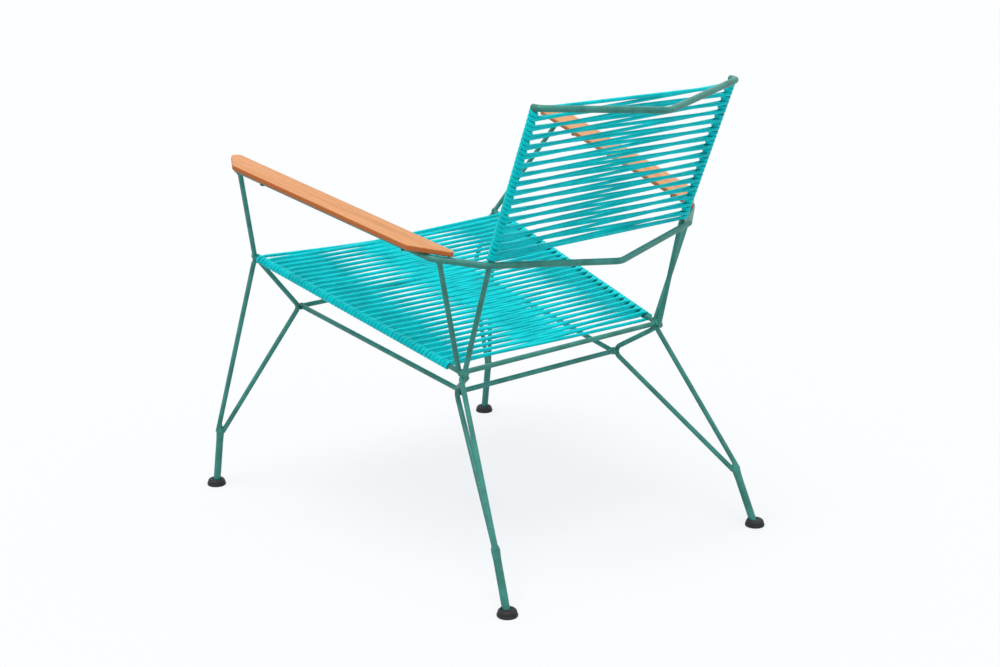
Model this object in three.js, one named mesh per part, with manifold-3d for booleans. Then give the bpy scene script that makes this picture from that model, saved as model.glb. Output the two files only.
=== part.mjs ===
// A low armchair of welded steel rod: cord-wound seat and back, wooden armrests, rubber feet.
// Millimetres, +Z up. The chair faces -Y, the sitter's left is +X, and the floor is z = 0.
// Every place is written for the left half; the right half is its mirror image.
import * as THREE from 'three';
import { mergeVertices } from 'three/addons/utils/BufferGeometryUtils.js';
import Module from 'manifold-3d';

const wasm = await Module();
wasm.setup();

// Stock sizes
const frameRod = 8;
const bowRod = 10;
const lowerLegRod = 12;
const cordDiameter = 5.5;
const flatCordThickness = 3.3;
const flatCordWidth = 6.4;

// Fits
const clearance = 0.3;
const overrun = 5;

// Overall depth, from the front edge of the front feet to the back of the top bow
const overallDepth = 784;

// Seat side rails, at their centre line
const seatFrontHalfWidth = 256;
const seatFrontY = -296;
const seatFrontHeight = 410;
const seatRearHalfWidth = 204;
const seatRearY = 171.3;
const seatRearHeight = 313.5;

// Legs
const frontFootHalfWidth = 298.5;
const rearFootHalfWidth = 263.5;
const rearFootY = 345;
const frontJoinHalfWidth = 296;
const frontJoinY = -361;
const frontJoinHeight = 100;
const rearJoinHalfWidth = 254.5;
const rearJoinY = 308;
const rearJoinHeight = 88.5;
const frontElbowHalfWidth = 187;
const frontElbowY = -274.7;
const frontElbowHeight = 317;
const rearElbowHalfWidth = 164.5;
const rearElbowY = 108.8;
const rearElbowHeight = 262.5;
const frontKneeWidth = 9;
const rearKneeWidth = 12;
const kneeDrop = 3.5;
const kneeBendRadius = 5.5;
const elbowBendRadius = 12;

// Armrests and their posts
const armFrontHalfWidth = 332;
const armFrontY = -212;
const armFrontHeight = 575;
const armRearHalfWidth = 268;
const armRearY = 181;
const armRearHeight = 500.5;
const armrestWidth = 45;
const armrestThickness = 10;
const armrestFrontOverhang = 30;
const armrestRearOverhang = 30;
const armrestFrontFacetLength = 3;
const armrestFrontFacetWidth = 14.5;
const armrestFrontCornerLength = 37;
const armrestRearTaperLength = 51;
const armrestEase = 1.2;
const armBendRadius = 12;
const armRodTail = 8;
const rearPostShare = 0.85;
const postSpacing = 11.5;

// Armrest screws, driven up through the arm rod
const screwShank = 4;
const screwHeadDiameter = 8;
const screwHeadHeight = 2.4;
const screwBite = 6.5;
const screwShares = [0.13, 0.87];

// Back
const backAtBowHalfWidth = 195.3;
const backAtBowY = 226.9;
const bowHeight = 489.5;
const bowBendOutward = 12.5;
const bowApexY = 295.7;
const bowApexHeight = 474.8;
const backTopHalfWidth = 196.5;
const topBowDepth = 68.4;
const topBowHeight = 728;
const topBowApexHeight = 711;
const topBowBendRadius = 9;
const bowApexBendRadius = 30;
const topBowReturnBehind = 9;
const topBowReturnAhead = 5;

// Lower ring of stretchers
const stretcherTail = 5;

// Feet
const footDiameter = 31.5;
const footHeight = 11;
const footSole = 4;
const footEdge = 1.2;
const footTopDiameterShare = 0.78;
const footStepHeightShare = 0.34;
const footBulgeShare = 0.95;

// Cord windings
const seatLoops = 30;
const seatNodes = 2;
const backLoops = 17;
const seatWrapFrontMargin = 8;
const seatWrapRearMargin = 21;
const backWrapLowMargin = 2;
const backWrapTopMargin = 0.6;
const strandLanding = 6;
const crossingMiddleShare = 0.5;

// Smoothness
const rodSides = 10;
const legSides = 12;
const footSides = 20;
const screwSides = 12;
const cordSides = 6;
const stepsPerHalfTurn = 4;
const bendStep = Math.PI / 5;
const gapSampleShare = 0.5;

// Looks
const enamel = { color: '#3e8474', roughness: 0.35, metalness: 0 };
const cordPlastic = { color: '#00b8bc', roughness: 0.35, metalness: 0 };
const oiledWood = { color: '#d98a4e', roughness: 0.5, metalness: 0 };
const blackRubber = { color: '#2a2a30', roughness: 0.75, metalness: 0 };
const screwSteel = { color: '#b8b8b4', roughness: 0.4, metalness: 1 };

const chair = new THREE.Group();

// Vector helpers
const vec = (x, y, z) => new THREE.Vector3(x, y, z);
const sideways = vec(1, 0, 0);
const upward = vec(0, 0, 1);
const toward = (from, to) => to.clone().sub(from).normalize();
const along = (point, direction, distance) => point.clone().addScaledVector(direction, distance);
const squareTo = (direction, axis) => along(direction, axis, -direction.dot(axis)).normalize();
const mirrored = (point) => vec(-point.x, point.y, point.z);

// A centre line that passes through chosen stations, with one section of the rod at each.
class Route extends THREE.Curve {
  constructor(stations) {
    super();
    this.stations = stations;
    this.last = stations.length - 1;
  }

  getPointAt(share) {
    return this.stations[Math.round(share * this.last)].clone();
  }

  getSpacedPoints() {
    return this.stations.map((station) => station.clone());
  }

  getTangentAt(share) {
    const here = Math.round(share * this.last);
    const arriving = here > 0 ? toward(this.stations[here - 1], this.stations[here]) : vec(0, 0, 0);
    const leaving = here < this.last ? toward(this.stations[here], this.stations[here + 1]) : vec(0, 0, 0);
    return arriving.add(leaving).normalize();
  }
}

// Stations of a bent rod: its corners are rounded by arcs of the given radii.
function bentStations(corners, radii) {
  const stations = [corners[0]];
  for (let i = 1; i < corners.length - 1; i += 1) {
    const arriving = toward(corners[i - 1], corners[i]);
    const leaving = toward(corners[i], corners[i + 1]);
    const turn = arriving.angleTo(leaving);
    const radius = radii[i - 1];
    const inward = squareTo(leaving, arriving);
    const begin = along(corners[i], arriving, -radius * Math.tan(turn / 2));
    const centre = along(begin, inward, radius);
    const steps = 2 * Math.ceil(turn / bendStep / 2);
    for (let step = 0; step <= steps; step += 1) {
      const angle = (turn * step) / steps;
      const onArc = along(centre, inward, -radius * Math.cos(angle));
      stations.push(along(onArc, arriving, radius * Math.sin(angle)));
    }
  }
  stations.push(corners[corners.length - 1]);
  return stations;
}

function polygon(radius, sides) {
  const shape = new THREE.Shape();
  for (let side = 0; side < sides; side += 1) {
    const angle = (2 * Math.PI * side) / sides;
    const x = radius * Math.cos(angle);
    const y = radius * Math.sin(angle);
    if (side === 0) shape.moveTo(x, y);
    else shape.lineTo(x, y);
  }
  return shape;
}

// Solids and meshes
function solidOf(geometry) {
  const bare = geometry.clone();
  bare.deleteAttribute('normal');
  bare.deleteAttribute('uv');
  const merged = mergeVertices(bare);
  const vertProperties = new Float32Array(merged.attributes.position.array);
  const triVerts = new Uint32Array(merged.index.array);
  return new wasm.Manifold(new wasm.Mesh({ numProp: 3, vertProperties, triVerts }));
}

function geometryOf(solid) {
  const cut = solid.getMesh();
  const geometry = new THREE.BufferGeometry();
  geometry.setAttribute('position', new THREE.BufferAttribute(cut.vertProperties, 3));
  geometry.setIndex(new THREE.BufferAttribute(cut.triVerts, 1));
  return geometry;
}

function rodGeometry(stations, diameter, sides = rodSides) {
  const section = polygon(diameter / 2, sides);
  const options = { steps: stations.length - 1, extrudePath: new Route(stations), bevelEnabled: false };
  return new THREE.ExtrudeGeometry(section, options);
}

const rodSolid = (rod, extra = 0) => solidOf(rodGeometry(rod.stations, rod.diameter + 2 * extra, rod.sides));

// A rod with the shapes of the neighbours that it is welded to cut out of it, a clearance larger.
function fitted(rod, neighbours) {
  let solid = rodSolid(rod);
  for (const neighbour of neighbours) solid = solid.subtract(rodSolid(neighbour, clearance));
  return geometryOf(solid);
}

function addMesh(name, geometry, look) {
  const mesh = new THREE.Mesh(geometry, new THREE.MeshStandardMaterial(look));
  mesh.name = name;
  chair.add(mesh);
}

function mirroredGeometry(geometry) {
  const flipped = geometry.index ? geometry.toNonIndexed() : geometry.clone();
  flipped.scale(-1, 1, 1);
  const position = flipped.attributes.position;
  for (let first = 0; first < position.count; first += 3) {
    const a = new THREE.Vector3().fromBufferAttribute(position, first + 1);
    const b = new THREE.Vector3().fromBufferAttribute(position, first + 2);
    position.setXYZ(first + 1, b.x, b.y, b.z);
    position.setXYZ(first + 2, a.x, a.y, a.z);
  }
  return flipped;
}

// The left piece and its mirror image, each a mesh of its own.
function addPair(name, geometry, look) {
  addMesh(`${name}_left`, geometry, look);
  addMesh(`${name}_right`, mirroredGeometry(geometry), look);
}

const rodOf = (stations, diameter, sides = rodSides) => ({ stations, diameter, sides });
const rodMirror = (rod) => rodOf(rod.stations.map(mirrored), rod.diameter, rod.sides);

// Points that several pieces share
const seatFront = vec(seatFrontHalfWidth, seatFrontY, seatFrontHeight);
const seatRear = vec(seatRearHalfWidth, seatRearY, seatRearHeight);
const armFront = vec(armFrontHalfWidth, armFrontY, armFrontHeight);
const armRear = vec(armRearHalfWidth, armRearY, armRearHeight);
const frontElbow = vec(frontElbowHalfWidth, frontElbowY, frontElbowHeight);
const rearElbow = vec(rearElbowHalfWidth, rearElbowY, rearElbowHeight);
const frontJoin = vec(frontJoinHalfWidth, frontJoinY, frontJoinHeight);
const rearJoin = vec(rearJoinHalfWidth, rearJoinY, rearJoinHeight);
const frontFoot = vec(frontFootHalfWidth, (footDiameter - overallDepth) / 2, 0);
const rearFoot = vec(rearFootHalfWidth, rearFootY, 0);
const backAtBow = vec(backAtBowHalfWidth, backAtBowY, bowHeight);

// Seat side rail: its front end stands over the front knee, its rear end carries both rear posts
const seatAxis = toward(seatFront, seatRear);
const seatUp = sideways.clone().cross(seatAxis).normalize();
const railEnds = [along(seatFront, seatAxis, -frameRod / 2), along(seatRear, seatAxis, postSpacing)];
const seatRail = rodOf(railEnds, frameRod);

// The end of a rod that stands on a seat plane, tilted from the seat's axis
function standingEnd(seatPoint, seatDirection, from, diameter) {
  const tilt = toward(seatPoint, from).angleTo(seatDirection);
  return along(seatPoint, seatDirection, clearance + (diameter / 2) * Math.sin(tilt));
}

// Leg: one hairpin of frame rod from the join up to the knee, down to the elbow and back to the join,
// and a thicker lower leg from the join into the foot. A rounded knee falls short of its corner, so the
// corner is raised until the top of the bend meets the rail.
function legRods(corner, kneeWidth, elbow, join, foot) {
  const knee = along(corner, seatUp, -(frameRod + clearance));
  const innerKnee = vec(knee.x - kneeWidth, knee.y, knee.z - kneeDrop);
  const legAxis = toward(foot, join);
  const apart = squareTo(toward(elbow, knee), legAxis);
  const halfGap = (frameRod + clearance) / 2;
  const outerEnd = standingEnd(along(join, apart, halfGap), legAxis, knee, frameRod);
  const innerEnd = standingEnd(along(join, apart, -halfGap), legAxis, elbow, frameRod);
  const radii = [kneeBendRadius, kneeBendRadius, elbowBendRadius];
  const raised = (rise) => [knee, innerKnee].map((point) => along(point, upward, rise));
  const bentAt = (rise) => bentStations([outerEnd, ...raised(rise), elbow, innerEnd], radii);
  const shortfall = knee.z - Math.max(...bentAt(0).map((station) => station.z));
  const slant = Math.tan(legAxis.angleTo(upward));
  const socketFloor = footSole + clearance + (lowerLegRod / 2) * Math.sin(legAxis.angleTo(upward));
  const shift = squareTo(legAxis, upward).multiplyScalar(slant * socketFloor);
  const lowerEnd = vec(foot.x + shift.x, foot.y + shift.y, socketFloor);
  return {
    hairpin: rodOf(bentAt(shortfall), frameRod),
    lower: rodOf([lowerEnd, join], lowerLegRod, legSides),
    innerKnee,
  };
}

const frontLeg = legRods(seatFront, frontKneeWidth, frontElbow, frontJoin, frontFoot);
const rearLeg = legRods(seatRear, rearKneeWidth, rearElbow, rearJoin, rearFoot);

// Lower ring: side stretchers lie against the inner sides of the elbows, cross stretchers between them
function besideElbow(elbow, knee, join) {
  const arriving = toward(knee, elbow);
  const leaving = toward(elbow, join);
  const turn = arriving.angleTo(leaving);
  const bowOut = elbowBendRadius / Math.cos(turn / 2) - elbowBendRadius;
  const intoBend = leaving.clone().sub(arriving).normalize();
  const apex = along(elbow, intoBend, bowOut);
  return vec(apex.x - frameRod - clearance, apex.y, apex.z);
}

const ringFront = besideElbow(frontElbow, frontLeg.innerKnee, frontJoin);
const ringRear = besideElbow(rearElbow, rearLeg.innerKnee, rearJoin);
const ringAxis = toward(ringFront, ringRear);
const sideEnds = [along(ringFront, ringAxis, -stretcherTail), along(ringRear, ringAxis, stretcherTail)];
const sideStretcher = rodOf(sideEnds, frameRod);
const frontStretcher = rodOf([ringFront, mirrored(ringFront)], frameRod);
const rearStretcher = rodOf([ringRear, mirrored(ringRear)], frameRod);

// Seat rear rail, between the side rails, resting on the rear knees
const seatRearRail = rodOf([seatRear, mirrored(seatRear)], frameRod);

// Top bow: a flat V behind the back, its ends turned forward over the tops of the back rods. The corner
// of the V lies beyond its rounded apex, which reaches the overall depth.
const backTopHeight = topBowHeight - bowRod / 2 - clearance;
const backTopY = overallDepth / 2 - topBowDepth;
const bowReturnTip = vec(backTopHalfWidth, backTopY - topBowReturnAhead, topBowHeight);
const bowReturnBend = vec(backTopHalfWidth, backTopY + topBowReturnBehind, topBowHeight);
const topBowReach = (overallDepth - bowRod) / 2;
const sweep = Math.atan2(topBowReach - bowReturnBend.y, backTopHalfWidth);
const apexRounding = bowApexBendRadius / Math.cos(sweep) - bowApexBendRadius;
const topBowApex = vec(0, topBowReach + apexRounding, topBowApexHeight);

function bowCorners(leftCorners, apex) {
  return [...leftCorners, apex, ...leftCorners.map(mirrored).reverse()];
}

const topRadii = [topBowBendRadius, bowApexBendRadius, topBowBendRadius];
const topBow = rodOf(bentStations(bowCorners([bowReturnTip, bowReturnBend], topBowApex), topRadii), bowRod);

// Lower bow and arm rods: one rod, from under the left armrest round behind the back to the right one.
// Seen from above, its rear stretch just clears the back rods.
const bowApex = vec(0, bowApexY, bowApexHeight);
const bowReach = Math.hypot(backAtBow.x, backAtBow.y - bowApexY);
const bowOffset = (frameRod + bowRod) / 2 + clearance;
const rodBearing = Math.atan2(backAtBow.y - bowApexY, backAtBow.x);
const bowBearing = rodBearing + Math.asin(bowOffset / bowReach);
const bowBendX = backAtBowHalfWidth + bowBendOutward;
const bowBend = vec(bowBendX, bowApexY + bowBendX * Math.tan(bowBearing), bowHeight);
const armAxis = toward(armFront, armRear);
const armTip = along(armFront, armAxis, -armRodTail);
const armRadii = [armBendRadius, armBendRadius];
const bowRadii = [...armRadii, bowApexBendRadius, ...armRadii];
const bowStations = bentStations(bowCorners([armTip, armRear, bowBend], bowApex), bowRadii);
const armBow = rodOf(bowStations, bowRod);

// Posts
const frontPost = rodOf([seatFront, armFront], frameRod);
const rearPostFoot = along(seatRear, seatAxis, -postSpacing / 2);
const rearPostTop = bowBend.clone().lerp(armRear, rearPostShare);
const rearPost = rodOf([rearPostFoot, rearPostTop], frameRod);
const backPostFoot = along(seatRear, seatAxis, postSpacing / 2);
const backTop = vec(backTopHalfWidth, backTopY, backTopHeight + bowRod / 2);
const backRod = rodOf([backPostFoot, backAtBow, backTop], frameRod);

addPair('seat_side_rail', rodGeometry(seatRail.stations, frameRod), enamel);
addMesh('seat_rear_rail', fitted(seatRearRail, [seatRail, rodMirror(seatRail), rearLeg.hairpin,
  rodMirror(rearLeg.hairpin)]), enamel);
addPair('front_leg', rodGeometry(frontLeg.hairpin.stations, frameRod), enamel);
addPair('rear_leg', rodGeometry(rearLeg.hairpin.stations, frameRod), enamel);
addPair('front_lower_leg', rodGeometry(frontLeg.lower.stations, lowerLegRod, legSides), enamel);
addPair('rear_lower_leg', rodGeometry(rearLeg.lower.stations, lowerLegRod, legSides), enamel);
addPair('side_stretcher', fitted(sideStretcher, [frontLeg.hairpin, rearLeg.hairpin]), enamel);
const sideStretchers = [sideStretcher, rodMirror(sideStretcher)];
addMesh('front_stretcher', fitted(frontStretcher, sideStretchers), enamel);
addMesh('rear_stretcher', fitted(rearStretcher, sideStretchers), enamel);
addPair('front_arm_post', fitted(frontPost, [seatRail, armBow, frontLeg.hairpin]), enamel);
addPair('rear_arm_post', fitted(rearPost, [seatRail, armBow]), enamel);
addPair('back_rod', fitted(backRod, [seatRail, seatRearRail, rearPost, armBow, topBow]), enamel);
addMesh('top_bow', rodGeometry(topBow.stations, bowRod), enamel);

// Armrest: a flat board along the arm rod, pointed in front and tapered behind
const armLength = armFront.distanceTo(armRear);
const armrestLength = armrestFrontOverhang + armLength + armrestRearOverhang;
const armOutward = squareTo(squareTo(sideways, armAxis), upward);
const armSide = squareTo(armOutward, armAxis);
const armUp = armSide.clone().cross(armAxis).normalize();
const boardFrame = new THREE.Matrix4().makeBasis(armSide, armAxis, armUp);
const boardBase = along(along(armFront, armAxis, -armrestFrontOverhang), armUp, bowRod / 2 + clearance);
boardFrame.setPosition(boardBase);

function armrestGeometry() {
  const half = armrestWidth / 2 - armrestEase;
  const tipAcross = armrestFrontFacetWidth - armrestWidth / 2;
  const front = armrestEase;
  const rear = armrestLength - armrestEase;
  const shape = new THREE.Shape();
  shape.moveTo(-half, front + armrestFrontFacetLength);
  shape.lineTo(tipAcross, front);
  shape.lineTo(half, front + armrestFrontCornerLength);
  shape.lineTo(half, rear - armrestRearTaperLength);
  shape.lineTo(-half, rear);
  const options = {
    depth: armrestThickness - 2 * armrestEase,
    bevelEnabled: true,
    bevelThickness: armrestEase,
    bevelSize: armrestEase,
    bevelSegments: 1,
  };
  const board = new THREE.ExtrudeGeometry(shape, options);
  board.translate(0, 0, armrestEase);
  return board.applyMatrix4(boardFrame);
}

// Armrest screws: pan heads under the arm rod, shanks up through it into the board
const screwPoints = screwShares.map((share) => armFront.clone().lerp(armRear, share));
const headSeat = bowRod / 2 + clearance;
const shankTop = bowRod / 2 + clearance + screwBite;

function turnedPin(point, profile) {
  const pin = new THREE.LatheGeometry(profile, screwSides);
  pin.rotateX(Math.PI / 2);
  const frame = new THREE.Matrix4().makeBasis(armSide, armAxis, armUp);
  frame.setPosition(point);
  return pin.applyMatrix4(frame);
}

function screwGeometry(point) {
  const profile = [
    new THREE.Vector2(0, -headSeat - screwHeadHeight),
    new THREE.Vector2(screwHeadDiameter / 2, -headSeat - screwHeadHeight),
    new THREE.Vector2(screwHeadDiameter / 2, -headSeat),
    new THREE.Vector2(screwShank / 2, -headSeat),
    new THREE.Vector2(screwShank / 2, shankTop),
    new THREE.Vector2(0, shankTop),
  ];
  return turnedPin(point, profile);
}

function screwHole(point) {
  const radius = screwShank / 2 + clearance;
  const profile = [
    new THREE.Vector2(0, -headSeat - overrun),
    new THREE.Vector2(radius, -headSeat - overrun),
    new THREE.Vector2(radius, shankTop + clearance),
    new THREE.Vector2(0, shankTop + clearance),
  ];
  return solidOf(turnedPin(point, profile));
}

function drilled(geometry, points) {
  let solid = solidOf(geometry);
  for (const point of points) solid = solid.subtract(screwHole(point));
  return solid;
}

let drilledBow = drilled(rodGeometry(armBow.stations, bowRod), screwPoints);
const mirrorPlane = [-1, 0, 0, 0, 0, 1, 0, 0, 0, 0, 1, 0, 0, 0, 0, 1];
for (const point of screwPoints) drilledBow = drilledBow.subtract(screwHole(point).transform(mirrorPlane));
addMesh('arm_bow', geometryOf(drilledBow), enamel);
addPair('armrest', geometryOf(drilled(armrestGeometry(), screwPoints)), oiledWood);
addPair('armrest_screw_front', screwGeometry(screwPoints[0]), screwSteel);
addPair('armrest_screw_rear', screwGeometry(screwPoints[1]), screwSteel);

// Rubber foot: a turned cup whose socket holds the slanted end of the lower leg
function footGeometry(foot, lowerLeg) {
  const base = footDiameter / 2;
  const profile = [
    new THREE.Vector2(0, 0),
    new THREE.Vector2(base - footEdge, 0),
    new THREE.Vector2(base, footEdge),
    new THREE.Vector2(base, footHeight * footStepHeightShare),
    new THREE.Vector2(base * footBulgeShare, footHeight * footStepHeightShare + footEdge / 2),
    new THREE.Vector2(base * footTopDiameterShare, footHeight - footEdge / 2),
    new THREE.Vector2(base * footTopDiameterShare - footEdge / 2, footHeight),
    new THREE.Vector2(0, footHeight),
  ];
  const cup = new THREE.LatheGeometry(profile, footSides);
  cup.rotateX(Math.PI / 2);
  cup.translate(foot.x, foot.y, foot.z);
  const socketAxis = toward(lowerLeg.stations[0], lowerLeg.stations[1]);
  const socketFloor = along(lowerLeg.stations[0], socketAxis, -clearance);
  const socket = rodOf([socketFloor, lowerLeg.stations[1]], lowerLegRod + 2 * clearance, legSides);
  return geometryOf(solidOf(cup).subtract(rodSolid(socket)));
}

addPair('front_foot', footGeometry(frontFoot, frontLeg.lower), blackRubber);
addPair('rear_foot', footGeometry(rearFoot, rearLeg.lower), blackRubber);

// Cord winding: one unbroken tube. Each strand leaves one rail on its upper side and lands on the lower
// side of the other, so that neighbouring strands cross halfway. Then it turns round that rail. The
// hollow cord is pressed flat where it turns.
const roundCord = { thick: cordDiameter, wide: cordDiameter };
const flatCord = { thick: flatCordThickness, wide: flatCordWidth };
const turnStep = Math.PI / stepsPerHalfTurn;
const wrapRadius = (frameRod / 2 + clearance + flatCordThickness / 2) / Math.cos(turnStep / 2);

function windingStations(start, end, firstMargin, pitch, firstCrossing, crossings) {
  const stations = [];
  const place = (side, crossingPlace, angle, inset, cord) => {
    const axis = toward(start, end);
    const over = sideways.clone().cross(axis).normalize();
    const outward = squareTo(sideways, axis);
    const radial = over.clone().multiplyScalar(Math.cos(angle)).addScaledVector(outward, Math.sin(angle));
    const centre = along(start, axis, firstMargin + pitch * crossingPlace);
    const point = along(along(centre, radial, wrapRadius), outward, -inset);
    const station = { point, over: radial, across: axis, cord };
    if (side > 0) return station;
    return { point: mirrored(point), over: mirrored(radial).negate(), across: mirrored(axis), cord };
  };
  for (let k = firstCrossing; k < firstCrossing + crossings; k += 1) {
    const leaving = k % 2 === 0 ? 1 : -1;
    const crossingPlace = (k + crossingMiddleShare) / 2;
    const lastCrossing = k === firstCrossing + crossings - 1;
    if (k === firstCrossing) stations.push(place(leaving, crossingPlace, 0, -cordDiameter, flatCord));
    stations.push(place(leaving, crossingPlace, 0, 0, flatCord));
    stations.push(place(leaving, crossingPlace, 0, strandLanding, roundCord));
    stations.push(place(-leaving, crossingPlace, Math.PI, strandLanding, roundCord));
    stations.push(place(-leaving, crossingPlace, Math.PI, 0, flatCord));
    if (lastCrossing) stations.push(place(-leaving, crossingPlace, Math.PI, -cordDiameter, flatCord));
    for (let step = 1; step < stepsPerHalfTurn && !lastCrossing; step += 1) {
      const turned = step / stepsPerHalfTurn;
      const turnAngle = Math.PI * (1 - turned);
      stations.push(place(-leaving, crossingPlace + turned / 2, turnAngle, 0, flatCord));
    }
  }
  return stations;
}

function cordGeometry(stations) {
  const points = [];
  for (const { point, over, across, cord } of stations) {
    for (let side = 0; side < cordSides; side += 1) {
      const angle = (2 * Math.PI * side) / cordSides;
      const wide = along(point, across, (cord.wide / 2) * Math.cos(angle));
      const corner = along(wide, over, (cord.thick / 2) * Math.sin(angle));
      points.push(corner.x, corner.y, corner.z);
    }
  }
  const faces = [];
  const lastRing = (stations.length - 1) * cordSides;
  for (let ring = 0; ring < lastRing; ring += cordSides) {
    for (let side = 0; side < cordSides; side += 1) {
      const next = (side + 1) % cordSides;
      faces.push(ring + side, ring + cordSides + side, ring + next);
      faces.push(ring + next, ring + cordSides + side, ring + cordSides + next);
    }
  }
  for (let side = 1; side < cordSides - 1; side += 1) {
    faces.push(0, side, side + 1);
    faces.push(lastRing, lastRing + side + 1, lastRing + side);
  }
  const geometry = new THREE.BufferGeometry();
  geometry.setAttribute('position', new THREE.Float32BufferAttribute(points, 3));
  geometry.setIndex(faces);
  return geometry;
}

// Least gap between two stretches of one cord, measured on points along its centre line, each taken as
// wide as the cord's widest side there
function leastGap(stations) {
  const samples = [];
  let travelled = 0;
  for (let i = 1; i < stations.length; i += 1) {
    const from = stations[i - 1];
    const to = stations[i];
    const length = from.point.distanceTo(to.point);
    const count = Math.ceil(length / (cordDiameter * gapSampleShare));
    for (let j = 0; j < count; j += 1) {
      const share = j / count;
      samples.push({
        point: from.point.clone().lerp(to.point, share),
        halfWide: THREE.MathUtils.lerp(from.cord.wide, to.cord.wide, share) / 2,
        travelled: travelled + length * share,
      });
    }
    travelled += length;
  }
  const oneTurn = 2 * Math.PI * wrapRadius;
  let least = Infinity;
  for (let i = 0; i < samples.length; i += 1) {
    for (let j = i + 1; j < samples.length; j += 1) {
      if (samples[j].travelled - samples[i].travelled < oneTurn) continue;
      const apart = samples[i].point.distanceTo(samples[j].point);
      least = Math.min(least, apart - samples[i].halfWide - samples[j].halfWide);
    }
  }
  return least;
}

function addWinding(name, stations) {
  addMesh(name, cordGeometry(stations), cordPlastic);
  console.log(`${name}: least gap to itself ${leastGap(stations).toFixed(2)} mm`);
}

const seatWound = seatFront.distanceTo(seatRear) - seatWrapFrontMargin - seatWrapRearMargin;
const seatPitch = seatWound / seatLoops;
const seatCrossings = (2 * seatLoops) / seatNodes;
['seat_cord_front', 'seat_cord_rear'].forEach((name, index) => {
  const firstCrossing = index * seatCrossings;
  addWinding(name, windingStations(seatFront, seatRear, seatWrapFrontMargin, seatPitch, firstCrossing,
    seatCrossings));
});

const backAxis = toward(backAtBow, backTop);
const bowHalfAlongRod = bowRod / 2 / backAxis.z;
const backWrapStart = bowHalfAlongRod + backWrapLowMargin;
const backWrapEnd = backAtBow.distanceTo(backTop) - bowHalfAlongRod - backWrapTopMargin;
const backCrossings = 2 * backLoops - 1;
const backPitch = (2 * (backWrapEnd - backWrapStart)) / backCrossings;
addWinding('back_cord', windingStations(backAtBow, backTop, backWrapStart, backPitch, 0, backCrossings));

export default chair;
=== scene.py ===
"""A low string armchair: enamelled steel rod, plastic cord wound as seat and back, oiled wooden armrests.

It is laid out as an add-on and run as a script: the sizes and colours are properties, each group of
like pieces has its operator, and main() calls them in order. Millimetres are written times MM.
"""
import math

import bpy
import numpy as np
from bpy.props import FloatProperty, FloatVectorProperty, IntProperty, PointerProperty, StringProperty
from bpy.types import Operator, Panel, PropertyGroup
from mathutils import Matrix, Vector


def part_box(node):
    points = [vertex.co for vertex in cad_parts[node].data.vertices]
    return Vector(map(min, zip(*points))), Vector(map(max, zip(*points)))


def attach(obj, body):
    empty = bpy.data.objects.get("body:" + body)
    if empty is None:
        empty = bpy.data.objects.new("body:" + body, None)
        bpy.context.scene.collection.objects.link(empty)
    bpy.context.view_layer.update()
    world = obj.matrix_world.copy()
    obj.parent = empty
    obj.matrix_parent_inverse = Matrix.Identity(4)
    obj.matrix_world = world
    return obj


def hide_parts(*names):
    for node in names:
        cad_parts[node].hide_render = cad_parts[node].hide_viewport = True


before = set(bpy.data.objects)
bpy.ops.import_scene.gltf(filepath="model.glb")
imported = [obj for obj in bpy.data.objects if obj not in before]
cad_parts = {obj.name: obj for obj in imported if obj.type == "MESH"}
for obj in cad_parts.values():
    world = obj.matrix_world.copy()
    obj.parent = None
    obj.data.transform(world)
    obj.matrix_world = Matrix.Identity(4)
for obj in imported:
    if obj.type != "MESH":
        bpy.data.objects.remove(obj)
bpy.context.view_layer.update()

bl_info = {
    "name": "String Armchair",
    "version": (1, 0, 0),
    "blender": (4, 5, 0),
    "location": "View3D > Sidebar > String Armchair",
    "description": "Builds a steel rod armchair with a cord-wound seat and back",
    "category": "Add Mesh",
}

MM = 0.001
BODY = "root"
SIDEWAYS = np.array([1.0, 0.0, 0.0])
FORWARD = np.array([0.0, -1.0, 0.0])
UPWARD = np.array([0.0, 0.0, 1.0])
MIRROR = np.array([-1.0, 1.0, 1.0])

# Points round a section
ROD_SIDES, CORD_SIDES, SCREW_SIDES, FOOT_SIDES = 28, 14, 36, 56
BEAD_SIDES, SPINDLE_SIDES, FILLER_SIDES = 12, 16, 48

# Sections along a line: on rods and beads, on a strand near its landings and between them, on the
# turns round a rod, on each turn of the cord's first end, and round a corner of the armrest
ROD_STEP = 12 * MM
COLLAR_STEPS, SPINDLE_STEPS = 40, 17
NEAR_LANDING = np.array([0.0, 1.5, 3.0, 4.5, 6.0, 8.0, 10.5, 14.0]) * MM
MIDDLE_STEPS, TURN_STEPS, LEAD_STEPS, CORNER_STEPS = 11, 37, 24, 9

# Degrees from which an edge between two faces stays sharp
ROD_SHARP, WELD_SHARP, CORD_SHARP = 35.0, 60.0, 60.0
WOOD_SHARP, SCREW_SHARP, FOOT_SHARP = 50.0, 30.0, 45.0

DECIMALS = 7  # Places along a line are rounded to these
ALMOST_MEETS = 0.05  # Share of the spacing below which two points count as one
NEARLY_SIDEWAYS = 0.8  # An axis this far along x takes its reference direction from z
MOST_OFF = 5 * MM  # How far a piece's box may stand off the boxes of its nodes
STAYS_FLAT = 1.0 * MM  # Length of a strand next to its rod that stays pressed flat
# Below these depths the board's sides take a darker colour, partly oil in the sawn edges and partly painted
# shade
DARK_FROM, DARK_TO = 1.4 * MM, 0.4 * MM  # Depths below the board's top between which its edge darkens


# Properties

def length(name, description, millimetres):
    return FloatProperty(name=name, description=description, default=millimetres * MM, min=0.0,
                         precision=5, unit="LENGTH")


def place(name, description, x, y, z):
    return FloatVectorProperty(name=name, description=description, size=3, precision=5,
                               default=(x * MM, y * MM, z * MM), subtype="XYZ", unit="LENGTH")


def number(name, description, value, **options):
    return FloatProperty(name=name, description=description, default=value, **options)


def share(name, description, value):
    return number(name, description, value, min=0.0, max=1.0, subtype="FACTOR")


def angle(name, description, degrees):
    return number(name, description, math.radians(degrees), subtype="ANGLE")


def count(name, description, value):
    return IntProperty(name=name, description=description, default=value, min=3)


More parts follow.
